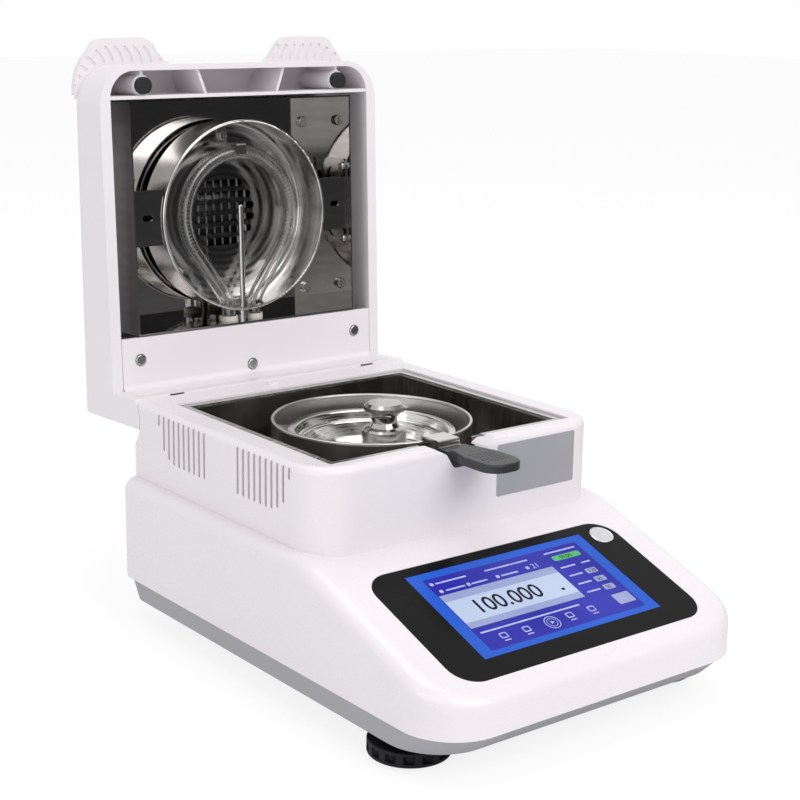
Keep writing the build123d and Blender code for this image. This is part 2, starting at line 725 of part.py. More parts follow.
def make_load_cell():
    """Bending beam with the usual double-bore window."""
    y = (0 - BEAM_WIDTH / 2, BEAM_LENGTH - BEAM_WIDTH / 2)
    beam = block((-BEAM_WIDTH / 2, BEAM_WIDTH / 2), y, (BEAM_Z, BEAM_Z + BEAM_HEIGHT))
    middle = (y[0] + y[1]) / 2
    z = BEAM_Z + BEAM_HEIGHT / 2
    for offset_y in (-11, 11):
        beam -= rod_x(BEAM_BORE_R, (-BEAM_WIDTH, BEAM_WIDTH), middle + offset_y, z)
    beam -= block((-BEAM_WIDTH, BEAM_WIDTH), (middle - 11, middle + 11), (z - 2.5, z + 2.5))
    return beam


def make_cell_mount():
    y1 = BEAM_LENGTH - BEAM_WIDTH / 2
    return block((-15, 15), (y1 - 22, y1), (TRAY_Z + TRAY_FLOOR, BEAM_Z))


def make_overload_stop():
    low = TRAY_Z + TRAY_FLOOR
    stop = rod_z(6, (low, BEAM_Z - 3.5)) + rod_z(3, (low, BEAM_Z - FIT))
    return stop


def make_main_board():
    z = TRAY_Z + TRAY_FLOOR + BOARD_LIFT
    top = z + BOARD_T
    edge = -BOARD_EDGE
    board = block((edge, -BOARD_GAP), (-112, 20), (z, top))
    parts = ((18, -84, 16, 16, 2), (38, -84, 8, 10, 8), (12, -52, 9, 12, 12), (40, -50, 14, 14, 2),
             (26, -10, 24, 10, 9), (8, 6, 8, 8, 14))
    for x, y, w, d, h in parts:
        board += Pos(edge + x, y, top + h / 2) * Box(w, d, h)
    for y in (-96, -90, -64, -58):
        board += rod_z(2.5, (z, top + 13), -BOARD_GAP - 4, y)
    for x in (edge + 4, -BOARD_GAP - 4):
        for y in (-108, 16):
            board += rod_z(STANDOFF_R, (TRAY_Z + TRAY_FLOOR, z), x, y)
    return board


def make_power_supply():
    z = TRAY_Z + TRAY_FLOOR + BOARD_LIFT
    top = z + BOARD_T
    edge = BOARD_EDGE
    board = block((BOARD_GAP, edge), (-106, 34), (z, top))
    board += Pos(edge - 28, -46, top + 13) * Box(32, 32, 26)
    board += block((BOARD_GAP + 4, BOARD_GAP + 10), (-20, 20), (z, top + 28))
    for y in (-12, 0, 12):
        board += block((BOARD_GAP + 10, BOARD_GAP + 20), (y - 1, y + 1), (z, top + 28))
    for x, y in ((8, -86), (8, -10), (22, -86)):
        board += rod_z(6.5, (z, top + 20), edge - x, y)
    for x in (BOARD_GAP + 4, edge - 4):
        for y in (-102, 30):
            board += rod_z(STANDOFF_R, (TRAY_Z + TRAY_FLOOR, z), x, y)
    return board


# Console

def make_panel():
    panel = panel_plan(0, PANEL_T, -PANEL_T)
    panel -= CONSOLE * extrude(Rectangle(SCREEN_W, SCREEN_H), 10, both=True)
    return panel - CONSOLE * (Pos(BUTTON_X, BUTTON_S, 0) * Cylinder(BUTTON_R + 0.25, 20))


def make_screen():
    glass = Rectangle(SCREEN_W - 2 * SNUG, SCREEN_H - 2 * SNUG)
    screen = extrude(glass, -SCREEN_T)
    backing = Pos(0, 0, -WALL) * extrude(Rectangle(SCREEN_W + 4, SCREEN_H + 4), -3.0)
    return CONSOLE * (Pos(0, 0, -SCREEN_SINK) * screen + backing)


def make_display_board():
    z = -WALL - 3.0 - FIT
    board = Pos(0, 0, z) * extrude(Rectangle(SCREEN_W + 4, SCREEN_H + 4), -BOARD_T)
    for x, y, w, h in ((-30, 8, 22, 16), (12, -10, 14, 14), (36, 14, 10, 8)):
        board += Pos(x, y, z - BOARD_T) * extrude(Rectangle(w, h), -3)
    return CONSOLE * board


def make_button():
    body = Pos(0, 0, BUTTON_PROUD - BUTTON_H / 2) * Cylinder(BUTTON_R, BUTTON_H)
    body = fillet(body.edges().sort_by(Axis.Z)[-1], 0.5)
    body -= Pos(0, 0, BUTTON_PROUD + 9.8) * Sphere(10.0)
    stem = Pos(0, 0, BUTTON_PROUD - BUTTON_H - 1.5) * Cylinder(2.4, 3.4)
    return CONSOLE * (Pos(BUTTON_X, BUTTON_S, 0) * (body + stem))


def make_button_switch():
    """Push switch under the button, held by a small board on the console."""
    top = BUTTON_PROUD - BUTTON_H - 3.2 - BUTTON_TRAVEL - 0.2
    body = Pos(0, 0, top - 3) * Box(10, 10, 6)
    board = Pos(0, 0, top - 6 - BOARD_T / 2) * Box(13, 17, BOARD_T)
    posts = None
    for x, y in ((-5, -7), (5, -7), (-5, 7), (5, 7)):
        height = -WALL - (top - 6)
        post = Pos(x, y, top - 6 + height / 2) * Cylinder(1.2, height)
        posts = post if posts is None else posts + post
    return CONSOLE * (Pos(BUTTON_X, BUTTON_S, 0) * (body + board + posts))


# Feet

def make_foot_wheel(side):
    x = side * FOOT_X
    low = FOOT_SOLE_H + SNUG
    wheel = rod_z(FOOT_WHEEL_R, (low, FOOT_WHEEL_TOP))
    wheel = fillet(wheel.edges().group_by(Axis.Z)[0], 1.0)
    wheel = fillet(wheel.edges().group_by(Axis.Z)[-1], 0.6)
    for step in range(FOOT_FLUTES):
        flute = rod_z(FOOT_FLUTE_R, (low + FOOT_FLANGE, FOOT_WHEEL_TOP - 1.2), FOOT_WHEEL_R + 0.6)
        wheel -= Rot(0, 0, 360 / FOOT_FLUTES * step) * flute
    wheel -= rod_z(FOOT_SOLE_R - 3, (low - 1, low + 1.0))
    wheel += rod_z(FOOT_STUD_R + 2.5, (low, FOOT_WHEEL_TOP + 1.2))
    wheel += rod_z(FOOT_STUD_R, (low, FOOT_STUD_TOP))
    wheel -= rod_z(1.6 + RUNNING, (low - 1, low + 4.2))
    return Pos(x, FOOT_Y, 0) * wheel


def make_foot_sole(side):
    x = side * FOOT_X
    sole = rod_z(FOOT_SOLE_R, (0, FOOT_SOLE_H))
    sole = fillet(sole.edges().group_by(Axis.Z)[0], 0.5)
    sole += rod_z(1.6, (0.5, FOOT_SOLE_H + 4.0))
    return Pos(x, FOOT_Y, 0) * sole


def make_foot_nuts():
    low = TRAY_Z + TRAY_FLOOR
    nut = rod_z(FOOT_NUT_R, (low, low + FOOT_NUT_H), FOOT_X, FOOT_Y)
    nut -= rod_z(FOOT_STUD_R + RUNNING, (low - 1, low + FOOT_NUT_H + 1), FOOT_X, FOOT_Y)
    return mirrored(nut)


def make_rear_feet():
    points = [(0, 0), (REAR_FOOT_R - 1.5, 0), (REAR_FOOT_R, TRAY_Z), (0, TRAY_Z)]
    foot = revolve(Plane.XZ * make_face(Polyline(*points, close=True)), Axis.Z)
    foot -= rod_z(SCREW_HEAD_R + 0.5, (-1, 4))
    foot -= rod_z(SCREW_SHANK_R + 0.1, (0, TRAY_Z + 1))
    return mirrored(Pos(REAR_FOOT_X, REAR_FOOT_Y, 0) * foot)


def make_rear_foot_screws():
    return mirrored(Pos(REAR_FOOT_X, REAR_FOOT_Y, 4) * screw(TRAY_Z - 4 + TRAY_FLOOR + 3))


def make_tray_screws():
    group = None
    for x, y in housing_posts():
        piece = Pos(x, y, TRAY_Z + SCREW_HEAD_H + 0.4) * screw(14)
        group = piece if group is None else group + piece
    return group


# Rear panel

def make_mains_socket():
    """Three-pole appliance inlet with its flange, well and blades."""
    flange = block(
        (SOCKET_X - 24, SOCKET_X + 24), (REAR_Y, REAR_Y + 2), (SOCKET_Z - 14, SOCKET_Z + 14))
    flange = fillet(flange.edges().filter_by(Axis.Y), 4)
    body = block(
        (SOCKET_X - 13.7, SOCKET_X + 13.7), (REAR_Y - 24, REAR_Y + 1),
        (SOCKET_Z - 11.7, SOCKET_Z + 11.7))
    points = [(-11.6, -7.6), (11.6, -7.6), (11.6, 3.6), (7.4, 7.8), (-7.4, 7.8), (-11.6, 3.6)]
    face = fillet(make_face(Polyline(*points, close=True)).vertices(), 1.2)
    well = extrude(Plane.XZ * face, amount=20, both=True)
    socket = flange + body - Pos(SOCKET_X, REAR_Y + 2.5, SOCKET_Z) * well
    for x, z in ((-7, -1.8), (0, 2.4), (7, -1.8)):
        socket += block(
            (SOCKET_X + x - 1, SOCKET_X + x + 1), (REAR_Y - 20, REAR_Y - 2),
            (SOCKET_Z + z - 2, SOCKET_Z + z + 2))
    for side in (-1, 1):
        x = SOCKET_X + side * 20
        socket -= rod_y(SCREW_SHANK_R + 0.1, (REAR_Y - 1, REAR_Y + 3), x, SOCKET_Z)
    return socket


def make_socket_screws():
    group = None
    for side in (-1, 1):
        piece = Pos(SOCKET_X + side * 20, REAR_Y + 2, SOCKET_Z) * Rot(90, 0, 0) * screw(2)
        group = piece if group is None else group + piece
    return group


def make_switch_body():
    flange = block(
        (SWITCH_X - 9, SWITCH_X + 9), (REAR_Y, REAR_Y + 1.6), (SWITCH_Z - 12.5, SWITCH_Z + 12.5))
    flange = fillet(flange.edges().filter_by(Axis.Y), 1.5)
    body = block(
        (SWITCH_X - 7, SWITCH_X + 7), (REAR_Y - 18, REAR_Y + 1), (SWITCH_Z - 10.5, SWITCH_Z + 10.5))
    well = block(
        (SWITCH_X - 5.6, SWITCH_X + 5.6), (REAR_Y - 10, REAR_Y + 3), (SWITCH_Z - 9.6, SWITCH_Z + 9.6))
    return flange + body - well


def make_rocker():
    """Rocker with two slanted faces, lying at its off position."""
    depth = 9.0
    points = [(0, -8.8), (3.4, -8.8), (1.8, 0), (3.4, 8.8), (0, 8.8), (-depth + 3.5, 3.0),
              (-depth + 3.5, -3.0)]
    face = Plane.YZ * make_face(Polyline(*points, close=True))
    rocker = extrude(face, amount=5.2, both=True)
    return Pos(SWITCH_X, REAR_Y, SWITCH_Z) * rocker


def make_serial_port():
    flange = block(
        (SERIAL_X - 15.4, SERIAL_X + 15.4), (REAR_Y, REAR_Y + 0.9), (SERIAL_Z - 6.2, SERIAL_Z + 6.2))
    points = [(-8.4, 4.2), (8.4, 4.2), (7.2, -4.2), (-7.2, -4.2)]
    face = fillet(make_face(Polyline(*points, close=True)).vertices(), 1.4)
    collar = extrude(Plane.XZ * face, amount=-6)
    port = flange + Pos(SERIAL_X, REAR_Y, SERIAL_Z) * collar
    port += block(
        (SERIAL_X - 9.7, SERIAL_X + 9.7), (REAR_Y - 10, REAR_Y + 0.5), (SERIAL_Z - 5.3, SERIAL_Z + 5.3))
    for row, count in ((1.4, 5), (-1.4, 4)):
        for i in range(count):
            x = SERIAL_X + (i - (count - 1) / 2) * 2.76
            port -= rod_y(0.6, (REAR_Y + 1, REAR_Y + 7), x, SERIAL_Z + row)
    for side in (-1, 1):
        port += rod_y(2.4, (REAR_Y, REAR_Y + 5), SERIAL_X + side * 12.5, SERIAL_Z)
    return port


# Lid hinge

def make_hinge_brackets():
    eye = (HINGE_X - HINGE_EYE_T / 2, HINGE_X + HINGE_EYE_T / 2)
    arm = hinge_arm(0) + rod_x(HINGE_EYE_R, eye, HINGE_Y, HINGE_Z)
    arm -= rod_x(HINGE_BUSH_R + SNUG, (HINGE_X - 10, HINGE_X + 10), HINGE_Y, HINGE_Z)
    inner = REAR_Y - WALL - FIT
    top = HINGE_Z - RECESS_R - WALL - 2
    plate = block(
        (HINGE_X - ARM_PLATE_HALF, HINGE_X + ARM_PLATE_HALF), (inner - ARM_PLATE_T, inner),
        (ARM_FOOT_Z, top))
    for side in (-1, 1):
        x = HINGE_X + side * (ARM_PLATE_HALF - 3.5)
        plate -= rod_y(SCREW_SHANK_R, (inner - 10, inner + 1), x, (ARM_FOOT_Z + top) / 2)
    return mirrored(arm + plate)


def make_hinge_bushes():
    bush = rod_x(HINGE_BUSH_R, (HINGE_X - HINGE_EYE_T / 2, HINGE_X + HINGE_EYE_T / 2), HINGE_Y, HINGE_Z)
    bush -= rod_x(HINGE_PIN_R + RUNNING, (HINGE_X - 10, HINGE_X + 10), HINGE_Y, HINGE_Z)
    return mirrored(bush)


def pin_span():
    reach = HINGE_EYE_T / 2 + FIT + HINGE_CHEEK_T
    return (HINGE_X - reach, HINGE_X + reach)


def make_hinge_pins():
    return mirrored(rod_x(HINGE_PIN_R, pin_span(), HINGE_Y, HINGE_Z))


# Lid shell

def lid_profile(inset):
    """Closed lid in side view, with its round knuckle about the hinge axis."""
    rear = LID_REAR_Y - inset
    front = LID_FRONT_Y + (LID_FRONT_WALL if inset else 0)
    knuckle = KNUCKLE_R - inset
    top_front = (front, lid_top(front) - inset)
    top_rear = (rear, lid_top(rear) - inset)
    low_rear = (rear, HINGE_Z - sqrt(knuckle ** 2 - (rear - HINGE_Y) ** 2))
    face_y = KNUCKLE_FRONT_Y if not inset else HINGE_Y - knuckle
    drop = sqrt(max(0.0, knuckle ** 2 - (face_y - HINGE_Y) ** 2))
    low_front = (face_y, HINGE_Z - drop)
    bottom = (HINGE_Y, HINGE_Z - knuckle)
    plane_z = LID_PLANE_Z - (1 if inset else 0)
    upper = Polyline(
        low_front, (face_y, plane_z), (front, plane_z), top_front, top_rear, low_rear)
    return Plane.YZ * make_face([upper, ThreePointArc(low_rear, bottom, low_front)])


def ear_face():
    """One grip ear of the lid, seen from above, running round the lid's front corner."""
    root = LID_FRONT_Y + EAR_ROOT
    base = LID_FRONT_Y + 0.5
    side = LID_HALF - 0.1
    tip = (EAR_TIP_OUT, EAR_TIP_Y + 0.3)
    corner = Spline(
        (side, root), (side - 1.0, root - 9), (side - 4.6, root - 17.4), (side - 10, root - 24), tip,
        tangents=((0, -1), (-1, -0.04)))
    crest = Line(tip, (EAR_TIP_IN, EAR_TIP_Y))
    slope = Spline(
        (EAR_TIP_IN, EAR_TIP_Y), (EAR_TIP_IN - 8.5, EAR_TIP_Y + 4), (EAR_BASE_IN, base),
        tangents=((-1, 0), (-1, 0.15)))
    foot = Polyline((EAR_BASE_IN, base), (EAR_BASE_IN, root), (side, root))
    return make_face([corner, crest, slope, foot])


def ear_groove(x, y, facing, length):
    """Curved groove that starts at a point of the lid's outline and bends to the outside."""
    straight = Vector(cos(facing), sin(facing))
    bent = Vector(cos(facing + 0.85), sin(facing + 0.85))
    start = Vector(x, y)
    middle = start + straight * (0.32 * length) + bent * (0.20 * length)
    end = start + straight * (0.42 * length) + bent * (0.62 * length)
    z = EAR_TOP_Z - EAR_THICK
    points = [(v.X, v.Y, z) for v in (start, middle, end)]
    path = ThreePointArc(*points)
    return sweep(Plane(origin=path @ 0, z_dir=path % 0) * Circle(EAR_GROOVE_R), path=path)


def make_ear():
    """Grip ear with curved grip grooves on its lower face, fanned round the corner."""
    ear = extrude(Pos(0, 0, EAR_TOP_Z - EAR_THICK) * ear_face(), EAR_THICK)
    ear = fillet(ear.faces().sort_by(Axis.Z)[-1].edges().group_by(Axis.Y)[0], 1.2)
    x = EAR_BASE_IN + 8
    for step in range(EAR_GROOVES):
        ear -= ear_groove(x + step * EAR_GROOVE_PITCH, LID_FRONT_Y - 1.2, -pi / 2, 9.5)
    reach = LID_CORNER + 1.2
    for step in range(EAR_CORNER_GROOVES):
        facing = -pi / 2 + 0.12 + step * 0.25
        cx = LID_HALF - LID_CORNER + reach * cos(facing)
        cy = LID_FRONT_Y + LID_CORNER + reach * sin(facing)
        ear -= ear_groove(cx, cy, facing, 8.0 - step * 1.2)
    return ear


def lid_slots():
    """Slots in the lid's top over the dish."""
    cutter = None
    middle = (GRILLE_SLOT_COUNT - 1) / 2
    for step in range(GRILLE_SLOT_COUNT):
        x = (step - middle) * GRILLE_SLOT_PITCH
        length = 2 * sqrt(GRILLE_R ** 2 - x ** 2)
        slot = Pos(x, 0, 135) * Rot(0, 0, 90) * extrude(SlotOverall(length, GRILLE_SLOT_W), 30)
        cutter = slot if cutter is None else cutter + slot
    return cutter


def lid_post(x, y, radius, low):
    """Round boss from the lid's roof down to a height."""
    return rod_z(radius, (low, lid_top(y) - WALL / 2), x, y)


def make_lid_shell():
    body = extrude(lid_profile(0), amount=LID_HALF, both=True)
    corners = [e for e in body.edges().filter_by(Axis.Z) if e.center().Y < LID_FRONT_Y + 1]
    body = fillet(corners, LID_CORNER)
    roof = body.faces().sort_by(Axis.Z)[-1]
    body = fillet(roof.edges(), LID_EDGE)
    body += mirrored(make_ear())
    cavity = extrude(lid_profile(WALL), amount=LID_HALF - LID_SIDE_WALL, both=True)
    edges = [e for e in cavity.edges().filter_by(Axis.Z) if e.center().Y < LID_FRONT_Y + 5]
    cavity = fillet(edges, LID_CORNER - LID_SIDE_WALL)
    roof = cavity.faces().sort_by(Axis.Z)[-1]
    cavity = fillet(roof.edges(), LID_EDGE - LID_SIDE_WALL)
    shell = body - cavity
    inside = extrude(lid_profile(WALL / 2), amount=LID_HALF - LID_SIDE_WALL / 2, both=True)
    added = block(
        (-LID_HALF, LID_HALF), (LID_RIB_Y - LID_RIB_T, LID_RIB_Y), (LID_PLANE_Z + 0.6, LID_REAR_TOP_Z))
    for side in (-1, 1):
        rib = make_face(Polyline(
            (side * 28.4, LID_FRONT_Y + 1), (side * 26.8, LID_FRONT_Y + 1),
            (side * 20.8, LID_RIB_Y), (side * 22.4, LID_RIB_Y), close=True))
        added += extrude(Pos(0, 0, LID_PLANE_Z + 3) * rib, 40)
        added += block(
            (side * PAD_X - 0.8, side * PAD_X + 0.8), (LID_FRONT_Y + 1, PAD_Y),
            (LID_PLANE_Z + 2, LID_REAR_TOP_Z))
        added += lid_post(side * PAD_X, PAD_Y, PAD_R + 1, LID_PLANE_Z + 2)
        for y in (-BOX_SCREW_Y, BOX_SCREW_Y):
            added += lid_post(side * BOX_SCREW_X, y, 4, BOX_PLANE_Z + BOX_DEPTH)
    for x, y in COVER_SCREWS:
        added += lid_post(x, y, 4, LID_PLANE_Z + COVER_T)
    reach = HINGE_EYE_T / 2 + FIT
    cheek = extrude(lid_profile(WALL / 2), amount=LID_HALF, both=True)
    cheek &= block((-LID_HALF, LID_HALF), (KNUCKLE_FRONT_Y + COVER_T + FIT, 200), (0, 140))
    zone = block(
        (HINGE_X - reach - HINGE_CHEEK_T, HINGE_X + reach + HINGE_CHEEK_T), (0, 200), (0, 200))
    zone -= block((HINGE_X - reach, HINGE_X + reach), (0, 200), (0, 200))
    added += cheek & mirrored(zone)
    shell += added & inside
    shell -= lid_slots()
    shell -= mirrored(hinge_sweep(reach))
    shell -= mirrored(rod_x(HINGE_PIN_R + SNUG, pin_span(), HINGE_Y, HINGE_Z))
    for x, y in COVER_SCREWS:
        shell -= rod_z(SCREW_SHANK_R, (LID_PLANE_Z, LID_PLANE_Z + 16), x, y)
    for side in (-1, 1):
        for y in (-BOX_SCREW_Y, BOX_SCREW_Y):
            shell -= rod_z(SCREW_SHANK_R, (120, BOX_PLANE_Z + BOX_DEPTH + 6), side * BOX_SCREW_X, y)
        shell -= rod_z(1.6, (LID_PLANE_Z, LID_PLANE_Z + 6), side * PAD_X, PAD_Y)
    return shell


def hinge_sweep(reach):
    """Space that the body's hinge arm needs inside the lid over the whole swing."""
    x = (HINGE_X - reach, HINGE_X + reach)
    side = ARM_HALF + FIT
    long = 2 * RECESS_R
    arm = block(x, (HINGE_Y - side, HINGE_Y + side), (HINGE_Z - long, HINGE_Z))
    steps = 6
    points = [(HINGE_Y, HINGE_Z)]
    for step in range(steps + 1):
        turn = radians(LID_OPEN * step / steps)
        points.append((HINGE_Y + long * sin(turn), HINGE_Z - long * cos(turn)))
    sector = Pos(HINGE_X, 0, 0) * side_profile(points, reach)
    sweep = arm + arm.rotate(HINGE_AXIS, LID_OPEN) + sector
    sweep += rod_x(HINGE_EYE_R + FIT, x, HINGE_Y, HINGE_Z)
    return sweep.rotate(HINGE_AXIS, -ARM_LEAN)


def make_hinge_cover():
    top = LID_PLANE_Z + COVER_T
    face_y = KNUCKLE_FRONT_Y
    low = HINGE_Z - 4.6
    points = [
        (COVER_FRONT_Y, LID_PLANE_Z), (COVER_FRONT_Y, top), (face_y + COVER_T, top),
        (face_y + COVER_T, low + 0.6), (face_y, low), (face_y, LID_PLANE_Z),
    ]
    cover = side_profile(points, LID_HALF - LID_SIDE_WALL - FIT)
    inner = [e for e in cover.edges().filter_by(Axis.X)
             if abs(e.center().Y - face_y) < 0.01 and abs(e.center().Z - LID_PLANE_Z) < 0.01]
    cover = fillet(inner, 3.0)
    for x, y in COVER_SCREWS:
        cover -= rod_z(SCREW_SHANK_R + 0.1, (LID_PLANE_Z - 1, top + 1), x, y)
        cover -= rod_z(COVER_SINK_R, (LID_PLANE_Z - 1, LID_PLANE_Z + 1.2), x, y)
    return cover


def make_cover_screws():
    group = None
    for x, y in COVER_SCREWS:
        piece = Pos(x, y, LID_PLANE_Z + 1.2) * screw(12, head=2.9)
        group = piece if group is None else group + piece
    return group


def make_pads():
    low = LID_PLANE_Z - PAD_PROUD
    pad = rod_z(PAD_R, (low, LID_PLANE_Z + 2))
    pad = fillet(pad.edges().group_by(Axis.Z)[0], 0.8)
    pad += rod_z(1.6 - SNUG, (LID_PLANE_Z + 1, LID_PLANE_Z + 6))
    return mirrored(Pos(PAD_X, PAD_Y, 0) * pad)


# Heater

def make_heater_box():
    z = (BOX_PLANE_Z, BOX_PLANE_Z + BOX_DEPTH)
    box = block((-BOX_HALF, BOX_HALF), (BOX_FRONT_Y, BOX_REAR_Y), z)
    box -= block(
        (-BOX_HALF + SHEET, BOX_HALF - SHEET), (BOX_FRONT_Y + SHEET, BOX_REAR_Y - SHEET),
        (z[0] - 1, z[1] - SHEET))
    box -= rod_z(BOX_PORT_R, (z[1] - 3, z[1] + 1))
    for side in (-1, 1):
        box -= rod_y(CAP_R + 0.4, (BOX_REAR_Y - 3, BOX_REAR_Y + 1), side * LAMP_LEG_X, LAMP_Z)
        for y in (-BOX_SCREW_Y, BOX_SCREW_Y):
            box -= rod_z(SCREW_SHANK_R + 0.2, (z[1] - 3, z[1] + 1), side * BOX_SCREW_X, y)
    return box - rod_y(PROBE_R + 0.3, (BOX_REAR_Y - 3, BOX_REAR_Y + 1), 0, PROBE_Z)


def make_box_screws():
    group = None
    for side in (-1, 1):
        for y in (-BOX_SCREW_Y, BOX_SCREW_Y):
            place = Pos(side * BOX_SCREW_X, y, BOX_PLANE_Z + BOX_DEPTH - SHEET)
            piece = place * screw(6)
            group = piece if group is None else group + piece
    return group


def make_dish():
    """Round reflector: a drawn dish with a beaded rim and six slots in its floor."""
    mid = SHEET / 2
    points = [(0, DISH_FLOOR_Z + mid), (DISH_R - mid, DISH_FLOOR_Z + mid), (DISH_R - mid, DISH_RIM_Z)]
    path = FilletPolyline(*points, radius=2.5)
    band = make_face(offset(path, amount=mid, kind=Kind.INTERSECTION).edges())
    band &= Pos(60, 130) * Rectangle(120, 40)
    dish = revolve(Plane.XZ * band, Axis.Z)
    dish += Pos(0, 0, DISH_RIM_Z + 0.4) * Torus(DISH_R + 0.1, 0.7)
    middle = (DISH_SLOTS - 1) / 2
    for step in range(DISH_SLOTS):
        y = (step - middle) * DISH_SLOT_PITCH
        length = 2 * sqrt(DISH_GRILLE_R ** 2 - y ** 2)
        slot = Pos(0, y, DISH_FLOOR_Z - 2) * extrude(SlotOverall(length, DISH_SLOT_H), 5)
        dish -= slot
    for x, y in DISH_SCREWS:
        dish -= rod_z(SCREW_SHANK_R + RUNNING, (DISH_FLOOR_Z - 1, DISH_FLOOR_Z + 2), x, y)
    for side in (-1, 1):
        dish -= rod_y(LAMP_TUBE_R + 1, (40, 60), side * LAMP_LEG_X, LAMP_Z)
    return dish - rod_y(FERRULE_R + 0.6, (40, 60), 0, PROBE_Z)


def make_dish_brackets():
    """Folded plates that hold the dish between the side walls of the box."""
    wall = BOX_HALF - SHEET
    z = (DISH_RIM_Z + 1.5, DISH_RIM_Z + 1.5 + SHEET)
    web = block((DISH_R - 0.5, wall), (BRACKET_Y - BRACKET_HALF, BRACKET_Y + BRACKET_HALF), z)
    web -= rod_z(DISH_R + SNUG, (z[0] - 1, z[1] + 1))
    web -= Pos(DISH_R + 9, BRACKET_Y, z[0] - 1) * extrude(SlotOverall(6, 3), 4)
    half = BRACKET_SCREW_HALF + 4
    flange = Pos(wall - SHEET / 2, BRACKET_Y, z[0] + 10.5) * Box(SHEET, 2 * half, 21)
    flange = fillet(flange.edges().filter_by(Axis.X), 3.5)
    slot = Pos(wall, BRACKET_Y, z[0] + 13) * Rot(0, 90, 0) * Rot(0, 0, 90)
    flange -= slot * extrude(SlotOverall(2 * half - 9, 9), 4, both=True)
    for y in (BRACKET_Y - BRACKET_SCREW_HALF, BRACKET_Y + BRACKET_SCREW_HALF):
        flange -= rod_x(1.2 + RUNNING, (wall - 3, wall + 1), y, BRACKET_SCREW_Z)
    tab_y = (BRACKET_Y - 5, BRACKET_Y + 5)
    tab = block((DISH_R + SNUG, DISH_R + 1.4), tab_y, (z[0], z[0] + 12))
    tab -= rod_z(DISH_R + SNUG, (z[0] - 1, z[0] + 20))
    return mirrored(web + flange + tab)


def make_bracket_screws():
    wall = BOX_HALF - 2 * SHEET
    group = None
    for y in (BRACKET_Y - BRACKET_SCREW_HALF, BRACKET_Y + BRACKET_SCREW_HALF):
        piece = Pos(wall, y, BRACKET_SCREW_Z) * Rot(0, 90, 0) * screw(SHEET, head=2.4, shank=1.2)
        group = piece if group is None else group + piece
    return mirrored(group)


def lamp_path(end_y):
    """Centre line of the ring lamp: a large arc, two straight runs and two bent legs."""
    a = radians(LAMP_BREAK)
    start = Vector(LAMP_R * sin(a), LAMP_R * cos(a))
    bend_x = LAMP_LEG_BEND * (1 - sin(a))
    bend_y = LAMP_LEG_BEND * cos(a)
    run = (LAMP_R * sin(a) - LAMP_LEG_X - bend_x) / cos(a)
    knee = start + Vector(-cos(a), sin(a)) * run
    foot = knee + Vector(-bend_x, bend_y)
    half_turn = (pi / 2 - a) / 2
    middle = foot + Vector(1 - cos(half_turn), -sin(half_turn)) * LAMP_LEG_BEND
    points = {
        side: [(side * v.X, v.Y) for v in (Vector(LAMP_LEG_X, end_y), foot, middle, knee, start)]
        for side in (-1, 1)
    }
    end, foot, middle, knee, start = points[-1]
    edges = [Line(end, foot), ThreePointArc(foot, middle, knee), Line(knee, start)]
    end, foot, middle, knee, far = points[1]
    edges.append(ThreePointArc(start, (0, -LAMP_R), far))
    edges += [Line(far, knee), ThreePointArc(knee, middle, foot), Line(foot, end)]
    return Pos(0, 0, LAMP_Z) * Wire(edges)


def lamp_sweep(radius, end_y):
    path = lamp_path(end_y)
    start = Plane(origin=(-LAMP_LEG_X, end_y, LAMP_Z), z_dir=(0, -1, 0))
    return sweep(start * Circle(radius), path=path)


def make_lamp():
    return lamp_sweep(LAMP_TUBE_R, LAMP_END_Y) - lamp_sweep(LAMP_TUBE_R - LAMP_GLASS, LAMP_END_Y)


def make_filament():
    return lamp_sweep(FILAMENT_R, LAMP_END_Y)


def make_lamp_caps():
    y = (LAMP_END_Y, LAMP_END_Y + CAP_LENGTH)
    cap = rod_y(CAP_R, (y[0] - 2.5, y[1]), LAMP_LEG_X, LAMP_Z)
    cap -= rod_y(LAMP_TUBE_R + SNUG, (y[0] - 5, y[0]), LAMP_LEG_X, LAMP_Z)
    return mirrored(cap)


def make_lamp_holder():
    """Ceramic block under the hinge cover in which the lamp's ends are clamped."""
    y = LAMP_END_Y + CAP_LENGTH
    holder = block((-19, 19), (y - 5, y + 7), (LAMP_Z - 6.5, LAMP_Z + 6.5))
    holder = fillet(holder.edges().filter_by(Axis.Y), 1.5)
    for side in (-1, 1):
        holder -= rod_y(CAP_R + SNUG, (y - 6, y), side * LAMP_LEG_X, LAMP_Z)
        holder += rod_z(3.5, (LAMP_Z + 5, lid_top(y) - WALL - 0.1), side * 15, y + 1)
    return holder - rod_y(PROBE_R + 0.3, (y - 6, y + 8), 0, PROBE_Z)


def make_lamp_clip():
    """Spring strip from the dish floor around the far side of the lamp."""
    y0 = DISH_SCREWS[0][1]
    reach = LAMP_TUBE_R + CLIP_STRIP
    foot_z = DISH_FLOOR_Z - CLIP_STRIP / 2
    points = [
        (y0 - 4.5, foot_z), (y0 + 3.5, foot_z),
        (-LAMP_R - reach, LAMP_Z + 6), (-LAMP_R - reach, LAMP_Z - reach), (-LAMP_R + 1, LAMP_Z - reach),
    ]
    face = strip_profile(points, CLIP_STRIP, 0.8)
    clip = extrude(Plane.YZ * face, amount=3.0, both=True)
    return clip - rod_z(SCREW_SHANK_R + RUNNING, (foot_z - 1, foot_z + 1), 0, y0)


def make_dish_screws():
    group = None
    for x, y in DISH_SCREWS:
        sheet = CLIP_STRIP if x == 0 else 0
        piece = Pos(x, y, DISH_FLOOR_Z - sheet) * screw(sheet + SHEET + 1.5, head=2.6)
        group = piece if group is None else group + piece
    return group


def make_probe():
    tip = rod_y(PROBE_R, (PROBE_TIP_Y, BOX_REAR_Y + 16), 0, PROBE_Z)
    return fillet(tip.edges().group_by(Axis.Y)[0], 0.8)


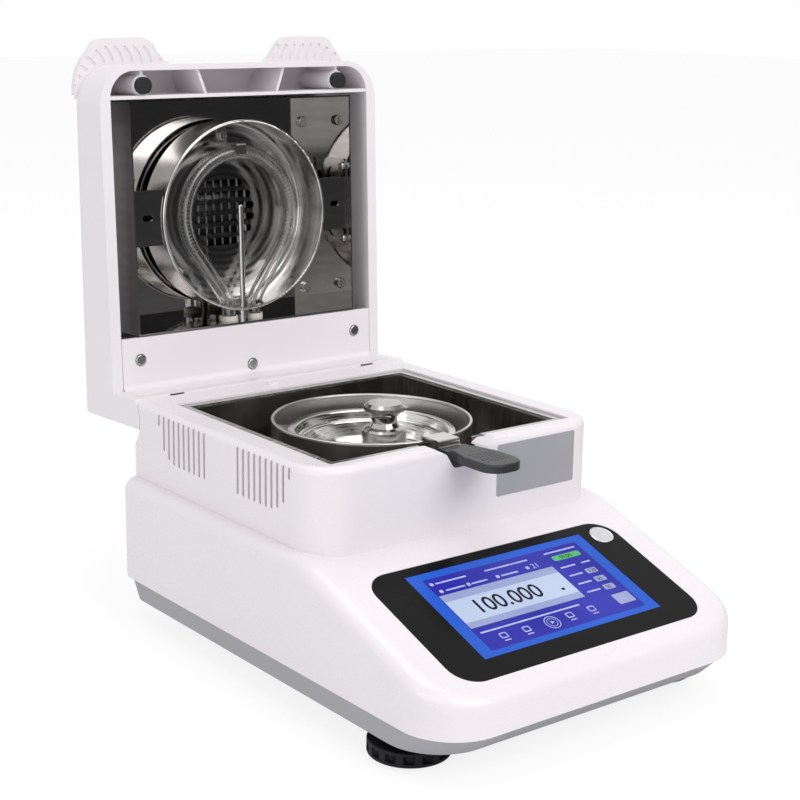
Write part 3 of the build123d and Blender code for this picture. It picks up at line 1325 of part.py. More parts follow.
def make_ferrule():
    y = BOX_REAR_Y - SHEET
    nut = rod_y(FERRULE_HEX_R, (y - 5, y), 0, PROBE_Z) + rod_y(FERRULE_R, (y - 11, y), 0, PROBE_Z)
    return nut - rod_y(PROBE_R + SNUG, (y - 20, y + 1), 0, PROBE_Z)


def make_lid_sensor():
    """Small dome behind the chamber that feels the closed lid."""
    dome = rod_z(SENSOR_R, (BLOCK_TOP_Z, BLOCK_TOP_Z + SENSOR_RISE), SENSOR_X, SENSOR_Y)
    return fillet(dome.edges().group_by(Axis.Z)[-1], SENSOR_RISE - 0.3)


def build_all():
    nodes["base_tray"] = make_tray()
    nodes["main_housing"] = make_housing()
    nodes["chamber_frame"] = make_frame()
    nodes["chamber_liner"] = make_liner()
    nodes["liner_pillars"] = make_liner_feet()
    nodes["draft_ring"] = make_draft_ring()
    nodes["lid_sensor"] = make_lid_sensor()
    nodes["bezel_panel"] = make_panel()
    nodes["display_screen"] = make_screen()
    nodes["display_board"] = make_display_board()
    nodes["power_button"] = make_button()
    nodes["button_switch"] = make_button_switch()
    nodes["load_cell"] = make_load_cell()
    nodes["load_cell_mount"] = make_cell_mount()
    nodes["overload_stop"] = make_overload_stop()
    nodes["pan_support"] = make_support()
    nodes["main_board"] = make_main_board()
    nodes["power_supply"] = make_power_supply()
    nodes["mains_socket"] = make_mains_socket()
    nodes["socket_screws"] = make_socket_screws()
    nodes["switch_body"] = make_switch_body()
    nodes["rocker_switch"] = make_rocker()
    nodes["serial_port"] = make_serial_port()
    nodes["hinge_brackets"] = make_hinge_brackets()
    nodes["hinge_bushes"] = make_hinge_bushes()
    nodes["foot_nuts"] = make_foot_nuts()
    nodes["rear_feet"] = make_rear_feet()
    nodes["rear_foot_screws"] = make_rear_foot_screws()
    nodes["tray_screws"] = make_tray_screws()
    for name, side in (("left", -1), ("right", 1)):
        nodes["foot_wheel_" + name] = make_foot_wheel(side)
        nodes["foot_sole_" + name] = make_foot_sole(side)
    nodes["handler_ring"] = make_ring()
    nodes["handler_clip"] = make_clip()
    nodes["handler_grip"] = make_grip()
    nodes["sample_pan"] = make_pan()
    nodes["test_weight"] = make_weight()
    nodes["lid_shell"] = opened(make_lid_shell())
    nodes["hinge_pins"] = opened(make_hinge_pins())
    nodes["hinge_cover"] = opened(make_hinge_cover())
    nodes["cover_screws"] = opened(make_cover_screws())
    nodes["lid_pads"] = opened(make_pads())
    nodes["heater_box"] = opened(make_heater_box())
    nodes["box_screws"] = opened(make_box_screws())
    nodes["reflector_dish"] = opened(make_dish())
    nodes["dish_brackets"] = opened(make_dish_brackets())
    nodes["bracket_screws"] = opened(make_bracket_screws())
    nodes["halogen_lamp"] = opened(make_lamp())
    nodes["lamp_filament"] = opened(make_filament())
    nodes["lamp_caps"] = opened(make_lamp_caps())
    nodes["lamp_holder"] = opened(make_lamp_holder())
    nodes["lamp_clip"] = opened(make_lamp_clip())
    nodes["dish_screws"] = opened(make_dish_screws())
    nodes["temperature_probe"] = opened(make_probe())
    nodes["probe_ferrule"] = opened(make_ferrule())


def footprint_shift():
    """Move that brings the middle of the whole part's footprint to the origin."""
    boxes = [shape.bounding_box() for shape in nodes.values()]
    low_y = min(box.min.Y for box in boxes)
    high_y = max(box.max.Y for box in boxes)
    low_z = min(box.min.Z for box in boxes)
    return Vector(0, -(low_y + high_y) / 2, -low_z)


build_all()
shift = footprint_shift()
os.makedirs("parts", exist_ok=True)
for name, shape in nodes.items():
    export_step(Pos(shift) * shape, "parts/" + name + ".step")
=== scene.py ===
import bmesh
import bpy
from math import cos, pi, radians, sin
from mathutils import Matrix, Vector


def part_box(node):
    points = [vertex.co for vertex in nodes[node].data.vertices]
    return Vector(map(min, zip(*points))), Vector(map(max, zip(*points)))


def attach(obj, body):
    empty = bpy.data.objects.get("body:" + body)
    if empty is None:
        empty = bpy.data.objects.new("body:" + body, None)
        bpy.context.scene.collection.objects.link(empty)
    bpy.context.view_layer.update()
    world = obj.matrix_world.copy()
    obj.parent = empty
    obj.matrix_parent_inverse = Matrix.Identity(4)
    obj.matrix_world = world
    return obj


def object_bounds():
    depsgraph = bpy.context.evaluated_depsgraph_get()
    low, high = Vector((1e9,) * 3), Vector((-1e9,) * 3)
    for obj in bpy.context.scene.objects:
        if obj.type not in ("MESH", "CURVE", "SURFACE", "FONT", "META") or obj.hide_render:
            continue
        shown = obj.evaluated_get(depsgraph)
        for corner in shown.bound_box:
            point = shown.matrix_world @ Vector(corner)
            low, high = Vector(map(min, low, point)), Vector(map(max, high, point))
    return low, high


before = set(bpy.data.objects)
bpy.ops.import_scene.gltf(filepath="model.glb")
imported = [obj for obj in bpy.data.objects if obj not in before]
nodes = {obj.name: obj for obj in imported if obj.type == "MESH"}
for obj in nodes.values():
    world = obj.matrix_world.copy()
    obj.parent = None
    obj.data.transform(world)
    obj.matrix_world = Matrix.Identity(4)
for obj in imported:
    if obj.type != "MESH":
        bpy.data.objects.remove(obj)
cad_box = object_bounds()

# The CAD model's own millimetres: the test weight stands at WEIGHT_Y there, which gives the shift in y.
MM = 0.001
WEIGHT_Y = -10.0
weight_low, weight_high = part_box("test_weight")
SHIFT_Y = (weight_low[1] + weight_high[1]) / 2 / MM - WEIGHT_Y

# Console plane, and the lid's hinge and opening angle
TILT = radians(19.6)
CONSOLE_Y = -123.2
CONSOLE_Z = 55.5
HINGE_Y = 95.7
HINGE_Z = 103.8
OPEN = radians(92.25)


def place(x, y, z):
    """Point of the part, from the millimetres that the CAD model uses."""
    return Vector((x, y + SHIFT_Y, z)) * MM


def lid_place(x, y, z):
    """Point of the open lid, from its place in the closed lid."""
    dy = y - HINGE_Y
    dz = z - HINGE_Z
    return place(
        x, HINGE_Y + dy * cos(OPEN) + dz * sin(OPEN), HINGE_Z - dy * sin(OPEN) + dz * cos(OPEN))


def console_frame(x, t, depth):
    """Matrix on the console plane: x to the right, y up the slope, z outwards."""
    spot = place(
        x, CONSOLE_Y + t * cos(TILT) - depth * sin(TILT), CONSOLE_Z + t * sin(TILT) + depth * cos(TILT))
    return Matrix.Translation(spot) @ Matrix.Rotation(TILT, 4, "X")


def lid_frame(x, y, z):
    """Matrix in the open lid: axes as in the closed lid."""
    return Matrix.Translation(lid_place(x, y, z)) @ Matrix.Rotation(-OPEN, 4, "X")


# Materials

def new_material(name):
    mat = bpy.data.materials.new(name)
    mat.use_nodes = True
    tree = mat.node_tree
    shader = tree.nodes["Principled BSDF"]
    coord = tree.nodes.new("ShaderNodeTexCoord")
    return mat, tree, shader, coord


def noise_at(tree, coord, scale, stretch=(1, 1, 1), detail=4.0, rough=0.55):
    mapping = tree.nodes.new("ShaderNodeMapping")
    mapping.inputs["Scale"].default_value = stretch
    tree.links.new(coord.outputs["Object"], mapping.inputs["Vector"])
    noise = tree.nodes.new("ShaderNodeTexNoise")
    noise.inputs["Scale"].default_value = scale
    noise.inputs["Detail"].default_value = detail
    noise.inputs["Roughness"].default_value = rough
    tree.links.new(mapping.outputs["Vector"], noise.inputs["Vector"])
    return noise


def ring_wave(tree, coord, centre, axis, scale):
    mapping = tree.nodes.new("ShaderNodeMapping")
    mapping.inputs["Location"].default_value = (-centre.x, -centre.y, -centre.z)
    tree.links.new(coord.outputs["Object"], mapping.inputs["Vector"])
    wave = tree.nodes.new("ShaderNodeTexWave")
    wave.wave_type = "RINGS"
    wave.rings_direction = axis
    wave.inputs["Scale"].default_value = scale
    wave.inputs["Distortion"].default_value = 1.2
    wave.inputs["Detail"].default_value = 3.0
    wave.inputs["Detail Scale"].default_value = 2.0
    tree.links.new(mapping.outputs["Vector"], wave.inputs["Vector"])
    return wave


def colour_ramp(tree, source, stops):
    ramp = tree.nodes.new("ShaderNodeValToRGB")
    ramp.color_ramp.elements[0].position = stops[0][0]
    ramp.color_ramp.elements[0].color = (*stops[0][1], 1)
    ramp.color_ramp.elements[1].position = stops[-1][0]
    ramp.color_ramp.elements[1].color = (*stops[-1][1], 1)
    for spot, colour in stops[1:-1]:
        ramp.color_ramp.elements.new(spot).color = (*colour, 1)
    tree.links.new(source, ramp.inputs["Fac"])
    return ramp


def value_range(tree, source, low, high):
    span = tree.nodes.new("ShaderNodeMapRange")
    span.inputs["From Min"].default_value = 0.25
    span.inputs["From Max"].default_value = 0.75
    span.inputs["To Min"].default_value = low
    span.inputs["To Max"].default_value = high
    tree.links.new(source, span.inputs["Value"])
    return span.outputs["Result"]


def bump_from(tree, shader, source, strength, distance):
    bump = tree.nodes.new("ShaderNodeBump")
    bump.inputs["Strength"].default_value = strength
    bump.inputs["Distance"].default_value = distance
    tree.links.new(source, bump.inputs["Height"])
    tree.links.new(bump.outputs["Normal"], shader.inputs["Normal"])


def shade(colour, factor):
    return tuple(min(1.0, c * factor) for c in colour)


def plastic(name, colour, rough=0.35, spread=0.05, tone=0.02, grain=2600, bump=0.05, gloss=0.5):
    """Moulded plastic: slow tone drift, fine texture and uneven sheen."""
    mat, tree, shader, coord = new_material(name)
    drift = noise_at(tree, coord, 9, detail=3)
    ramp = colour_ramp(
        tree, drift.outputs["Fac"], [(0.3, shade(colour, 1 - tone)), (0.7, shade(colour, 1 + tone))])
    tree.links.new(ramp.outputs["Color"], shader.inputs["Base Color"])
    fine = noise_at(tree, coord, grain, detail=2)
    tree.links.new(
        value_range(tree, fine.outputs["Fac"], rough - spread, rough + spread),
        shader.inputs["Roughness"])
    bump_from(tree, shader, fine.outputs["Fac"], bump, 0.0001)
    shader.inputs["Specular IOR Level"].default_value = gloss
    return mat


def steel(name, colour, rough=0.2, spread=0.06, stretch=(1, 1, 1), grain=300, bump=0.05, tone=0.06):
    """Metal with a streaked or plain finish."""
    mat, tree, shader, coord = new_material(name)
    shader.inputs["Metallic"].default_value = 1.0
    streak = noise_at(tree, coord, grain, stretch, detail=6, rough=0.6)
    ramp = colour_ramp(
        tree, streak.outputs["Fac"], [(0.3, shade(colour, 1 - tone)), (0.7, shade(colour, 1 + tone))])
    tree.links.new(ramp.outputs["Color"], shader.inputs["Base Color"])
    tree.links.new(
        value_range(tree, streak.outputs["Fac"], max(0.02, rough - spread), rough + spread),
        shader.inputs["Roughness"])
    bump_from(tree, shader, streak.outputs["Fac"], bump, 0.0001)
    return mat


def turned(name, colour, centre, axis, rough=0.18, scale=900, bump=0.06, tone=0.05):
    """Metal with fine rings about an axis, as it comes from a lathe or from spinning."""
    mat, tree, shader, coord = new_material(name)
    shader.inputs["Metallic"].default_value = 1.0
    wave = ring_wave(tree, coord, centre, axis, scale)
    ramp = colour_ramp(
        tree, wave.outputs["Fac"], [(0.1, shade(colour, 1 - tone)), (0.9, shade(colour, 1 + tone))])
    tree.links.new(ramp.outputs["Color"], shader.inputs["Base Color"])
    tree.links.new(
        value_range(tree, wave.outputs["Fac"], rough - 0.04, rough + 0.05), shader.inputs["Roughness"])
    bump_from(tree, shader, wave.outputs["Fac"], bump, 0.00006)
    return mat


def dished(name, centre):
    """Spun reflector: a darker floor, partly heat stain and partly painted reflection, with bright painted
    reflection bands over fine spun rings, and a bright wall whose brightness is painted reflection.
    """
    mat, tree, shader, coord = new_material(name)
    shader.inputs["Metallic"].default_value = 1.0
    wave = ring_wave(tree, coord, centre, "Y", 90)
    offset = tree.nodes.new("ShaderNodeVectorMath")
    offset.operation = "SUBTRACT"
    offset.inputs[1].default_value = centre
    tree.links.new(coord.outputs["Object"], offset.inputs[0])
    flat = tree.nodes.new("ShaderNodeVectorMath")
    flat.operation = "MULTIPLY"
    flat.inputs[1].default_value = (1, 0, 1)
    tree.links.new(offset.outputs[0], flat.inputs[0])
    length = tree.nodes.new("ShaderNodeVectorMath")
    length.operation = "LENGTH"
    tree.links.new(flat.outputs[0], length.inputs[0])
    spread = tree.nodes.new("ShaderNodeMapRange")
    spread.inputs["From Max"].default_value = 0.052
    tree.links.new(length.outputs["Value"], spread.inputs["Value"])
    # Colour by distance from the axis. The dark middle is partly heat stain and partly painted reflection of
    # dark surroundings. The bright bands and the bright outer wall are painted reflection.
    heat_stain_and_reflection = colour_ramp(tree, spread.outputs["Result"], [
        (0.0, (0.14, 0.137, 0.133)), (0.55, (0.20, 0.196, 0.19)), (0.68, (0.48, 0.47, 0.46)),
        (0.78, (0.26, 0.255, 0.25)), (0.92, (0.62, 0.61, 0.60)), (1.0, (0.80, 0.79, 0.775))])
    rings = colour_ramp(tree, wave.outputs["Fac"], [(0.1, (0.7, 0.7, 0.7)), (0.9, (1.0, 1.0, 1.0))])
    mix = tree.nodes.new("ShaderNodeMix")
    mix.data_type = "RGBA"
    mix.blend_type = "MULTIPLY"
    mix.inputs[0].default_value = 1.0
    tree.links.new(heat_stain_and_reflection.outputs["Color"], mix.inputs[6])
    tree.links.new(rings.outputs["Color"], mix.inputs[7])
    tree.links.new(mix.outputs[2], shader.inputs["Base Color"])
    tree.links.new(value_range(tree, wave.outputs["Fac"], 0.1, 0.2), shader.inputs["Roughness"])
    bump_from(tree, shader, wave.outputs["Fac"], 0.15, 0.0001)
    return mat


def clear_glass(name, tint, rough=0.02):
    mat, tree, shader, coord = new_material(name)
    streak = noise_at(tree, coord, 60, detail=2)
    ramp = colour_ramp(tree, streak.outputs["Fac"], [(0.3, shade(tint, 0.97)), (0.7, tint)])
    tree.links.new(ramp.outputs["Color"], shader.inputs["Base Color"])
    tree.links.new(
        value_range(tree, streak.outputs["Fac"], rough * 0.5, rough * 2), shader.inputs["Roughness"])
    shader.inputs["Transmission Weight"].default_value = 1.0
    shader.inputs["IOR"].default_value = 1.46
    return mat


def lit(name, low, high, strength, across=22):
    """Light from a display: a soft drift between two colours under smooth glass."""
    mat, tree, shader, coord = new_material(name)
    drift = noise_at(tree, coord, across, detail=1)
    ramp = colour_ramp(tree, drift.outputs["Fac"], [(0.32, low), (0.68, high)])
    tree.links.new(ramp.outputs["Color"], shader.inputs["Base Color"])
    tree.links.new(ramp.outputs["Color"], shader.inputs["Emission Color"])
    shader.inputs["Emission Strength"].default_value = strength
    fine = noise_at(tree, coord, 4000, detail=1)
    tree.links.new(value_range(tree, fine.outputs["Fac"], 0.16, 0.24), shader.inputs["Roughness"])
    shader.inputs["Specular IOR Level"].default_value = 0.12
    return mat


# Finishes of the pieces

PAN_SPOT = place(0, 0, 0)
WEIGHT_SPOT = place(0, WEIGHT_Y, 0)
DISH_SPOT = lid_place(0, 0, 130)

white = plastic("white_shell", (0.82, 0.775, 0.805), 0.30, grain=1800, bump=0.03)
lid_white = plastic("lid_white", (0.82, 0.78, 0.80), 0.32, grain=1800, bump=0.03)
cover_white = plastic("cover_white", (0.82, 0.775, 0.80), 0.36, grain=1800, bump=0.04)
grey = plastic("grey_tray", (0.36, 0.36, 0.38), 0.42, bump=0.08)
dark = plastic("dark_grip", (0.024, 0.024, 0.027), 0.42, tone=0.12, bump=0.15)
foot_dark = plastic("foot_dark", (0.006, 0.0065, 0.009), 0.5, tone=0.15, bump=0.2, gloss=0.25)
black_panel = plastic(
    "black_panel", (0.006, 0.006, 0.0065), 0.2, spread=0.03, tone=0.1, bump=0.01, gloss=0.08)
black_plastic = plastic("black_plastic", (0.016, 0.016, 0.017), 0.4, tone=0.15, bump=0.12)
rubber = plastic("soft_rubber", (0.014, 0.014, 0.014), 0.75, tone=0.2, grain=900, bump=0.35)
ceramic = plastic("ceramic", (0.72, 0.69, 0.62), 0.55, tone=0.05, grain=1600, bump=0.25)
board = plastic("coated_board", (0.015, 0.11, 0.04), 0.3, tone=0.25, grain=700, bump=0.2)
border_blue = lit("screen_blue", (0.014, 0.075, 0.44), (0.020, 0.095, 0.50), 0.25)
mirror_box = steel("mirror_box", (0.42, 0.405, 0.40), 0.045, 0.02, (1, 1, 6), 40, 0.01, 0.1)
liner_steel = steel("liner_steel", (0.56, 0.54, 0.52), 0.18, 0.05, (1, 8, 1), 60, 0.03, 0.12)
frame_steel = steel("frame_steel", (0.56, 0.55, 0.54), 0.26, 0.07, (1, 14, 14), 120, 0.05, 0.1)
ring_steel = turned("ring_steel", (0.62, 0.61, 0.60), PAN_SPOT, "Z", 0.30, 1200, 0.04)
bright_steel = steel("bright_steel", (0.62, 0.61, 0.60), 0.2, 0.05, (1, 10, 1), 160, 0.04)
screw_steel = steel("screw_steel", (0.50, 0.49, 0.48), 0.2, 0.06, (1, 1, 1), 500, 0.08)
plate_steel = steel("plate_steel", (0.34, 0.33, 0.325), 0.08, 0.03, (1, 1, 8), 60, 0.02, 0.1)
satin_alu = steel("satin_aluminium", (0.70, 0.70, 0.71), 0.38, 0.05, (1, 1, 1), 1500, 0.1, 0.03)
milled_alu = steel("milled_aluminium", (0.66, 0.66, 0.67), 0.34, 0.06, (12, 1, 1), 120, 0.08)
bracket_steel = steel("bracket_steel", (0.07, 0.07, 0.072), 0.4, 0.08, (1, 1, 1), 400, 0.15, 0.2)
brass = turned("turned_brass", (0.72, 0.52, 0.22), place(75, -128, 0), "Z", 0.25)
pan_steel = turned("pan_steel", (0.64, 0.63, 0.615), PAN_SPOT, "Z", 0.15, 700, 0.05)
weight_steel = turned("weight_steel", (0.44, 0.43, 0.425), WEIGHT_SPOT, "Z", 0.1, 1500, 0.03)
dish_steel = dished("dish_steel", DISH_SPOT)
lamp_glass = clear_glass("lamp_glass", (0.97, 0.98, 0.98))
wire = steel("drawn_wire", (0.34, 0.32, 0.30), 0.35, 0.08, (1, 1, 1), 2500, 0.4, 0.2)

finish = {
    "base_tray": grey, "main_housing": white, "chamber_frame": frame_steel,
    "chamber_liner": liner_steel, "liner_pillars": milled_alu, "draft_ring": liner_steel,
    "lid_sensor": white, "bezel_panel": black_panel, "display_screen": border_blue,
    "display_board": board, "power_button": satin_alu, "button_switch": black_plastic,
    "load_cell": milled_alu, "load_cell_mount": milled_alu, "overload_stop": milled_alu,
    "pan_support": milled_alu, "main_board": board, "power_supply": board,
    "mains_socket": black_plastic, "socket_screws": screw_steel, "switch_body": black_plastic,
    "rocker_switch": black_plastic, "serial_port": bright_steel, "hinge_brackets": bracket_steel,
    "hinge_bushes": brass, "foot_nuts": brass, "rear_feet": rubber,
    "rear_foot_screws": screw_steel, "tray_screws": screw_steel, "foot_wheel_left": foot_dark,
    "foot_wheel_right": foot_dark, "foot_sole_left": rubber, "foot_sole_right": rubber,
    "handler_ring": ring_steel, "handler_clip": bright_steel, "handler_grip": dark,
    "sample_pan": pan_steel, "test_weight": weight_steel, "lid_shell": lid_white,
    "hinge_pins": screw_steel, "hinge_cover": cover_white, "cover_screws": screw_steel,
    "lid_pads": rubber, "heater_box": mirror_box, "box_screws": screw_steel,
    "reflector_dish": dish_steel, "dish_brackets": plate_steel, "bracket_screws": screw_steel,
    "halogen_lamp": lamp_glass, "lamp_filament": wire, "lamp_caps": ceramic,
    "lamp_holder": ceramic, "lamp_clip": screw_steel, "dish_screws": screw_steel,
    "temperature_probe": bright_steel, "probe_ferrule": screw_steel,
}
for name, obj in nodes.items():
    obj.data.materials.clear()
    obj.data.materials.append(finish[name])


# Pieces that only show

def mesh_object(name, mesh, matrix, mat, body, smooth=False):
    mesh.materials.append(mat)
    for polygon in mesh.polygons:
        polygon.use_smooth = smooth
    mesh.transform(matrix)
    obj = bpy.data.objects.new(name, mesh)
    bpy.context.collection.objects.link(obj)
    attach(obj, body)
    return obj


def rounded_outline(w, h, radius, steps=6):
    points = []
    for cx, cy, start in ((1, 1, 0), (-1, 1, 90), (-1, -1, 180), (1, -1, 270)):
        for i in range(steps + 1):
            a = radians(start + 90 * i / steps)
            points.append((cx * (w / 2 - radius) + radius * cos(a), cy * (h / 2 - radius) + radius * sin(a)))
    return points


def prism(name, points, thick, matrix, mat, body, edge=0.0):
    """Thin plate on an outline, in millimetres, with an optional soft upper edge."""
    bm = bmesh.new()
    loop = [bm.verts.new((x * MM, y * MM, 0)) for x, y in points]
    face = bm.faces.new(loop)
    lifted = bmesh.ops.extrude_face_region(bm, geom=[face])
    verts = [g for g in lifted["geom"] if isinstance(g, bmesh.types.BMVert)]
    bmesh.ops.translate(bm, verts=verts, vec=(0, 0, thick * MM))
    if edge:
        top = [e for e in bm.edges if all(v.co.z > thick * MM * 0.9 for v in e.verts)]
        bmesh.ops.bevel(bm, geom=top, offset=edge * MM, segments=2, affect="EDGES")
    bmesh.ops.recalc_face_normals(bm, faces=bm.faces[:])
    mesh = bpy.data.meshes.new(name)
    bm.to_mesh(mesh)
    bm.free()
    return mesh_object(name, mesh, matrix, mat, body)


def lathe(name, profile, matrix, mat, body, steps=48):
    """Surface of revolution about z from (radius, height) pairs in millimetres."""
    bm = bmesh.new()
    rings = []
    for i in range(steps):
        a = 2 * pi * i / steps
        rings.append([bm.verts.new((r * MM * cos(a), r * MM * sin(a), z * MM)) for r, z in profile])
    for i in range(steps):
        here = rings[i]
        there = rings[(i + 1) % steps]
        for j in range(len(profile) - 1):
            bm.faces.new((here[j], there[j], there[j + 1], here[j + 1]))
    bmesh.ops.remove_doubles(bm, verts=bm.verts[:], dist=1e-7)
    bmesh.ops.recalc_face_normals(bm, faces=bm.faces[:])
    mesh = bpy.data.meshes.new(name)
    bm.to_mesh(mesh)
    bm.free()
    return mesh_object(name, mesh, matrix, mat, body, smooth=True)


def ring_points(radius, width, name, matrix, mat, body, thick=0.02):
    profile = [(radius, 0), (radius, thick), (radius - width, thick), (radius - width, 0), (radius, 0)]
    return lathe(name, profile, matrix, mat, body, 40)


# Display content: a generic read-out with plain numbers

UI_W = 93.0
UI_H = 51.0
UI_T = -0.4
GLASS = -0.2
ui_count = 0


def ui_spot(u, v, level):
    """Matrix at a share of the picture's width and height, a few hundredths over the glass."""
    return console_frame((u - 0.5) * UI_W, UI_T + (0.5 - v) * UI_H, GLASS + 0.02 + 0.03 * level)


def ui_box(u0, u1, v0, v1, mat, level=1, radius=0.3):
    global ui_count
    ui_count += 1
    w = (u1 - u0) * UI_W
    h = (v1 - v0) * UI_H
    outline = rounded_outline(w, h, min(radius, w / 2.05, h / 2.05), 3)
    return prism(
        "screen_mark_%02d" % ui_count, outline, 0.02, ui_spot((u0 + u1) / 2, (v0 + v1) / 2, level),
        mat, "base")


def ui_text(text, u, v, size, mat, level=2, stretch=1.0, weight=0.0):
    """Numbers, with u at the left end and v at the base line."""
    global ui_count
    ui_count += 1
    curve = bpy.data.curves.new("screen_text_%02d" % ui_count, "FONT")
    curve.body = text
    curve.size = size * MM
    curve.extrude = 0.00001
    curve.offset = weight * MM
    obj = bpy.data.objects.new(curve.name, curve)
    bpy.context.collection.objects.link(obj)
    obj.matrix_world = ui_spot(u, v, level) @ Matrix.Diagonal((stretch, 1, 1, 1))
    curve.materials.append(mat)
    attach(obj, "base")
    return obj


ui_blue = lit("picture_blue", (0.014, 0.014, 0.26), (0.030, 0.032, 0.34), 0.25)
ui_pale = lit("picture_pale", (0.36, 0.42, 0.58), (0.42, 0.49, 0.64), 0.25)
ui_strip = lit("picture_strip", (0.23, 0.26, 0.46), (0.27, 0.31, 0.50), 0.25)
ui_lines = lit("picture_lines", (0.30, 0.32, 0.62), (0.42, 0.44, 0.70), 0.3, 300)
ui_green = lit("picture_green", (0.07, 0.36, 0.12), (0.09, 0.42, 0.15), 0.25)
ui_dark = lit("picture_dark", (0.004, 0.005, 0.02), (0.008, 0.009, 0.03), 0.05)
ui_box(0, 1, 0, 1, ui_blue, 0, 0.4)
ui_box(0.005, 0.735, 0.235, 0.70, ui_pale)
ui_box(0.005, 0.735, 0.235, 0.325, ui_strip, 2)
ui_box(0.005, 0.735, 0.625, 0.70, ui_strip, 2)
ui_text("100.000", 0.118, 0.555, 13.0, ui_dark, 3, 0.95, 0.12)
ui_box(0.655, 0.675, 0.525, 0.555, ui_dark, 3, 0.5)
ui_box(0.78, 0.965, 0.115, 0.185, ui_green, 2, 1.2)
ui_text("00:00", 0.825, 0.172, 3.4, ui_dark, 3)
for u0, u1, v in (
    (0.05, 0.24, 0.075), (0.36, 0.64, 0.075), (0.76, 0.97, 0.06), (0.07, 0.19, 0.185), (0.23, 0.33, 0.185),
    (0.42, 0.53, 0.185), (0.03, 0.66, 0.775), (0.77, 0.87, 0.285), (0.91, 0.97, 0.285),
    (0.77, 0.86, 0.41), (0.77, 0.86, 0.535), (0.77, 0.86, 0.66),
):
    ui_box(u0, u1, v - 0.009, v + 0.009, ui_lines, 2)
for u, v in ((0.03, 0.075), (0.045, 0.185), (0.215, 0.185), (0.40, 0.185), (0.60, 0.175)):
    ui_box(u - 0.012, u + 0.008, v - 0.022, v + 0.018, ui_lines, 2, 0.5)
ui_text("21", 0.625, 0.20, 4.6, ui_lines)
for v, text in ((0.41, "120"), (0.535, "60"), (0.66, "30")):
    ui_box(0.885, 0.955, v - 0.035, v + 0.035, ui_strip, 2, 0.6)
    ui_text(text, 0.897, v + 0.022, 3.2, ui_dark, 3)
for u, v in ((0.13, 0.875), (0.27, 0.88), (0.555, 0.865), (0.70, 0.865)):
    ui_box(u - 0.022, u + 0.022, v - 0.04, v + 0.03, ui_lines, 2, 0.8)
    ui_box(u - 0.016, u + 0.016, v - 0.028, v + 0.018, ui_blue, 3, 0.5)
    ui_box(u - 0.02, u + 0.02, v + 0.052, v + 0.064, ui_lines, 2)
ring_points(4.1, 0.45, "screen_dial_outer", ui_spot(0.43, 0.885, 2), ui_lines, "base")
ring_points(2.7, 0.3, "screen_dial_inner", ui_spot(0.43, 0.885, 2), ui_lines, "base")
prism(
    "screen_dial_arrow", [(-0.8, -1.1), (1.2, 0), (-0.8, 1.1)], 0.02, ui_spot(0.43, 0.885, 3),
    ui_lines, "base")
ui_box(0.875, 0.985, 0.77, 0.91, ui_strip, 1, 0.6)
ring_points(1.7, 0.35, "screen_power_ring", ui_spot(0.93, 0.83, 3), ui_lines, "base")

# Winding of the ring lamp, and the guard behind the reflector's slots

COIL_ARC = radians(125)
COIL_R = 1.9
COIL_WIRE_R = 0.32
COIL_TURNS = 72
COIL_STEPS = 10
LAMP_R = 33.5
LAMP_Z = 126.0
GUARD_R = 23.0
GUARD_Z = 144.2
GUARD_BAR_R = 21.5
GUARD_BAR_Z = 143.0
GUARD_BAR_PITCH = 5


def lamp_coil():
    """Winding inside the lamp's glass, along the large arc of the tube."""
    data = bpy.data.curves.new("lamp_coil", "CURVE")
    data.dimensions = "3D"
    data.bevel_depth = COIL_WIRE_R * MM
    data.bevel_resolution = 1
    line = data.splines.new("POLY")
    steps = COIL_TURNS * COIL_STEPS
    line.points.add(steps)
    for i in range(steps + 1):
        around = -COIL_ARC + 2 * COIL_ARC * i / steps
        turn = 2 * pi * COIL_TURNS * i / steps
        reach = LAMP_R + COIL_R * cos(turn)
        spot = lid_place(reach * sin(around), -reach * cos(around), LAMP_Z + COIL_R * sin(turn))
        line.points[i].co = (*spot, 1)
    data.materials.append(wire)
    obj = bpy.data.objects.new("lamp_coil", data)
    bpy.context.collection.objects.link(obj)
    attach(obj, "lid")
    return obj


lamp_coil()
guard_dark = steel("guard_sheet", (0.05, 0.05, 0.052), 0.4, 0.08, (1, 1, 1), 300, 0.05, 0.15)
guard_wire = steel("guard_wire", (0.75, 0.74, 0.73), 0.22, 0.05, (1, 1, 1), 500, 0.05)
lathe(
    "guard_plate", [(0, 0), (GUARD_R, 0), (GUARD_R, 0.3), (0, 0.3)], lid_frame(0, 0, GUARD_Z), guard_dark,
    "lid")
for i in range(7):
    x = GUARD_BAR_PITCH * (i - 3)
    reach = (GUARD_BAR_R ** 2 - x * x) ** 0.5
    prism(
        "guard_bar_%d" % i, rounded_outline(1.1, 2 * reach, 0.5, 2), 0.8, lid_frame(x, 0, GUARD_BAR_Z),
        guard_wire, "lid")

# Bare label plate on the block's front, and the bright rim of the power button

LABEL_SPOT = (43.5, -74.02, 97.5)
LABEL_W = 49.8
LABEL_H = 25.4
BUTTON_X = 64
BUTTON_T = 24.6
label_face = plastic("label_foil", (0.36, 0.36, 0.385), 0.38, tone=0.04, bump=0.03)
label_place = Matrix.Translation(place(*LABEL_SPOT)) @ Matrix.Rotation(radians(90), 4, "X")
prism(
    "label_plate", rounded_outline(LABEL_W, LABEL_H, 1.0), 0.18, label_place, label_face, "base",
    0.05)
button_place = console_frame(BUTTON_X, BUTTON_T, 0)
rim_metal = turned("rim_metal", (0.78, 0.78, 0.79), Vector(button_place.translation), "Z", 0.12)
rim_profile = [(6.1, 0.42), (6.02, 0.6), (5.8, 0.68), (5.5, 0.62), (5.4, 0.5), (6.1, 0.42)]
lathe("button_rim", rim_profile, button_place, rim_metal, "power_button")

# Stage, light and camera

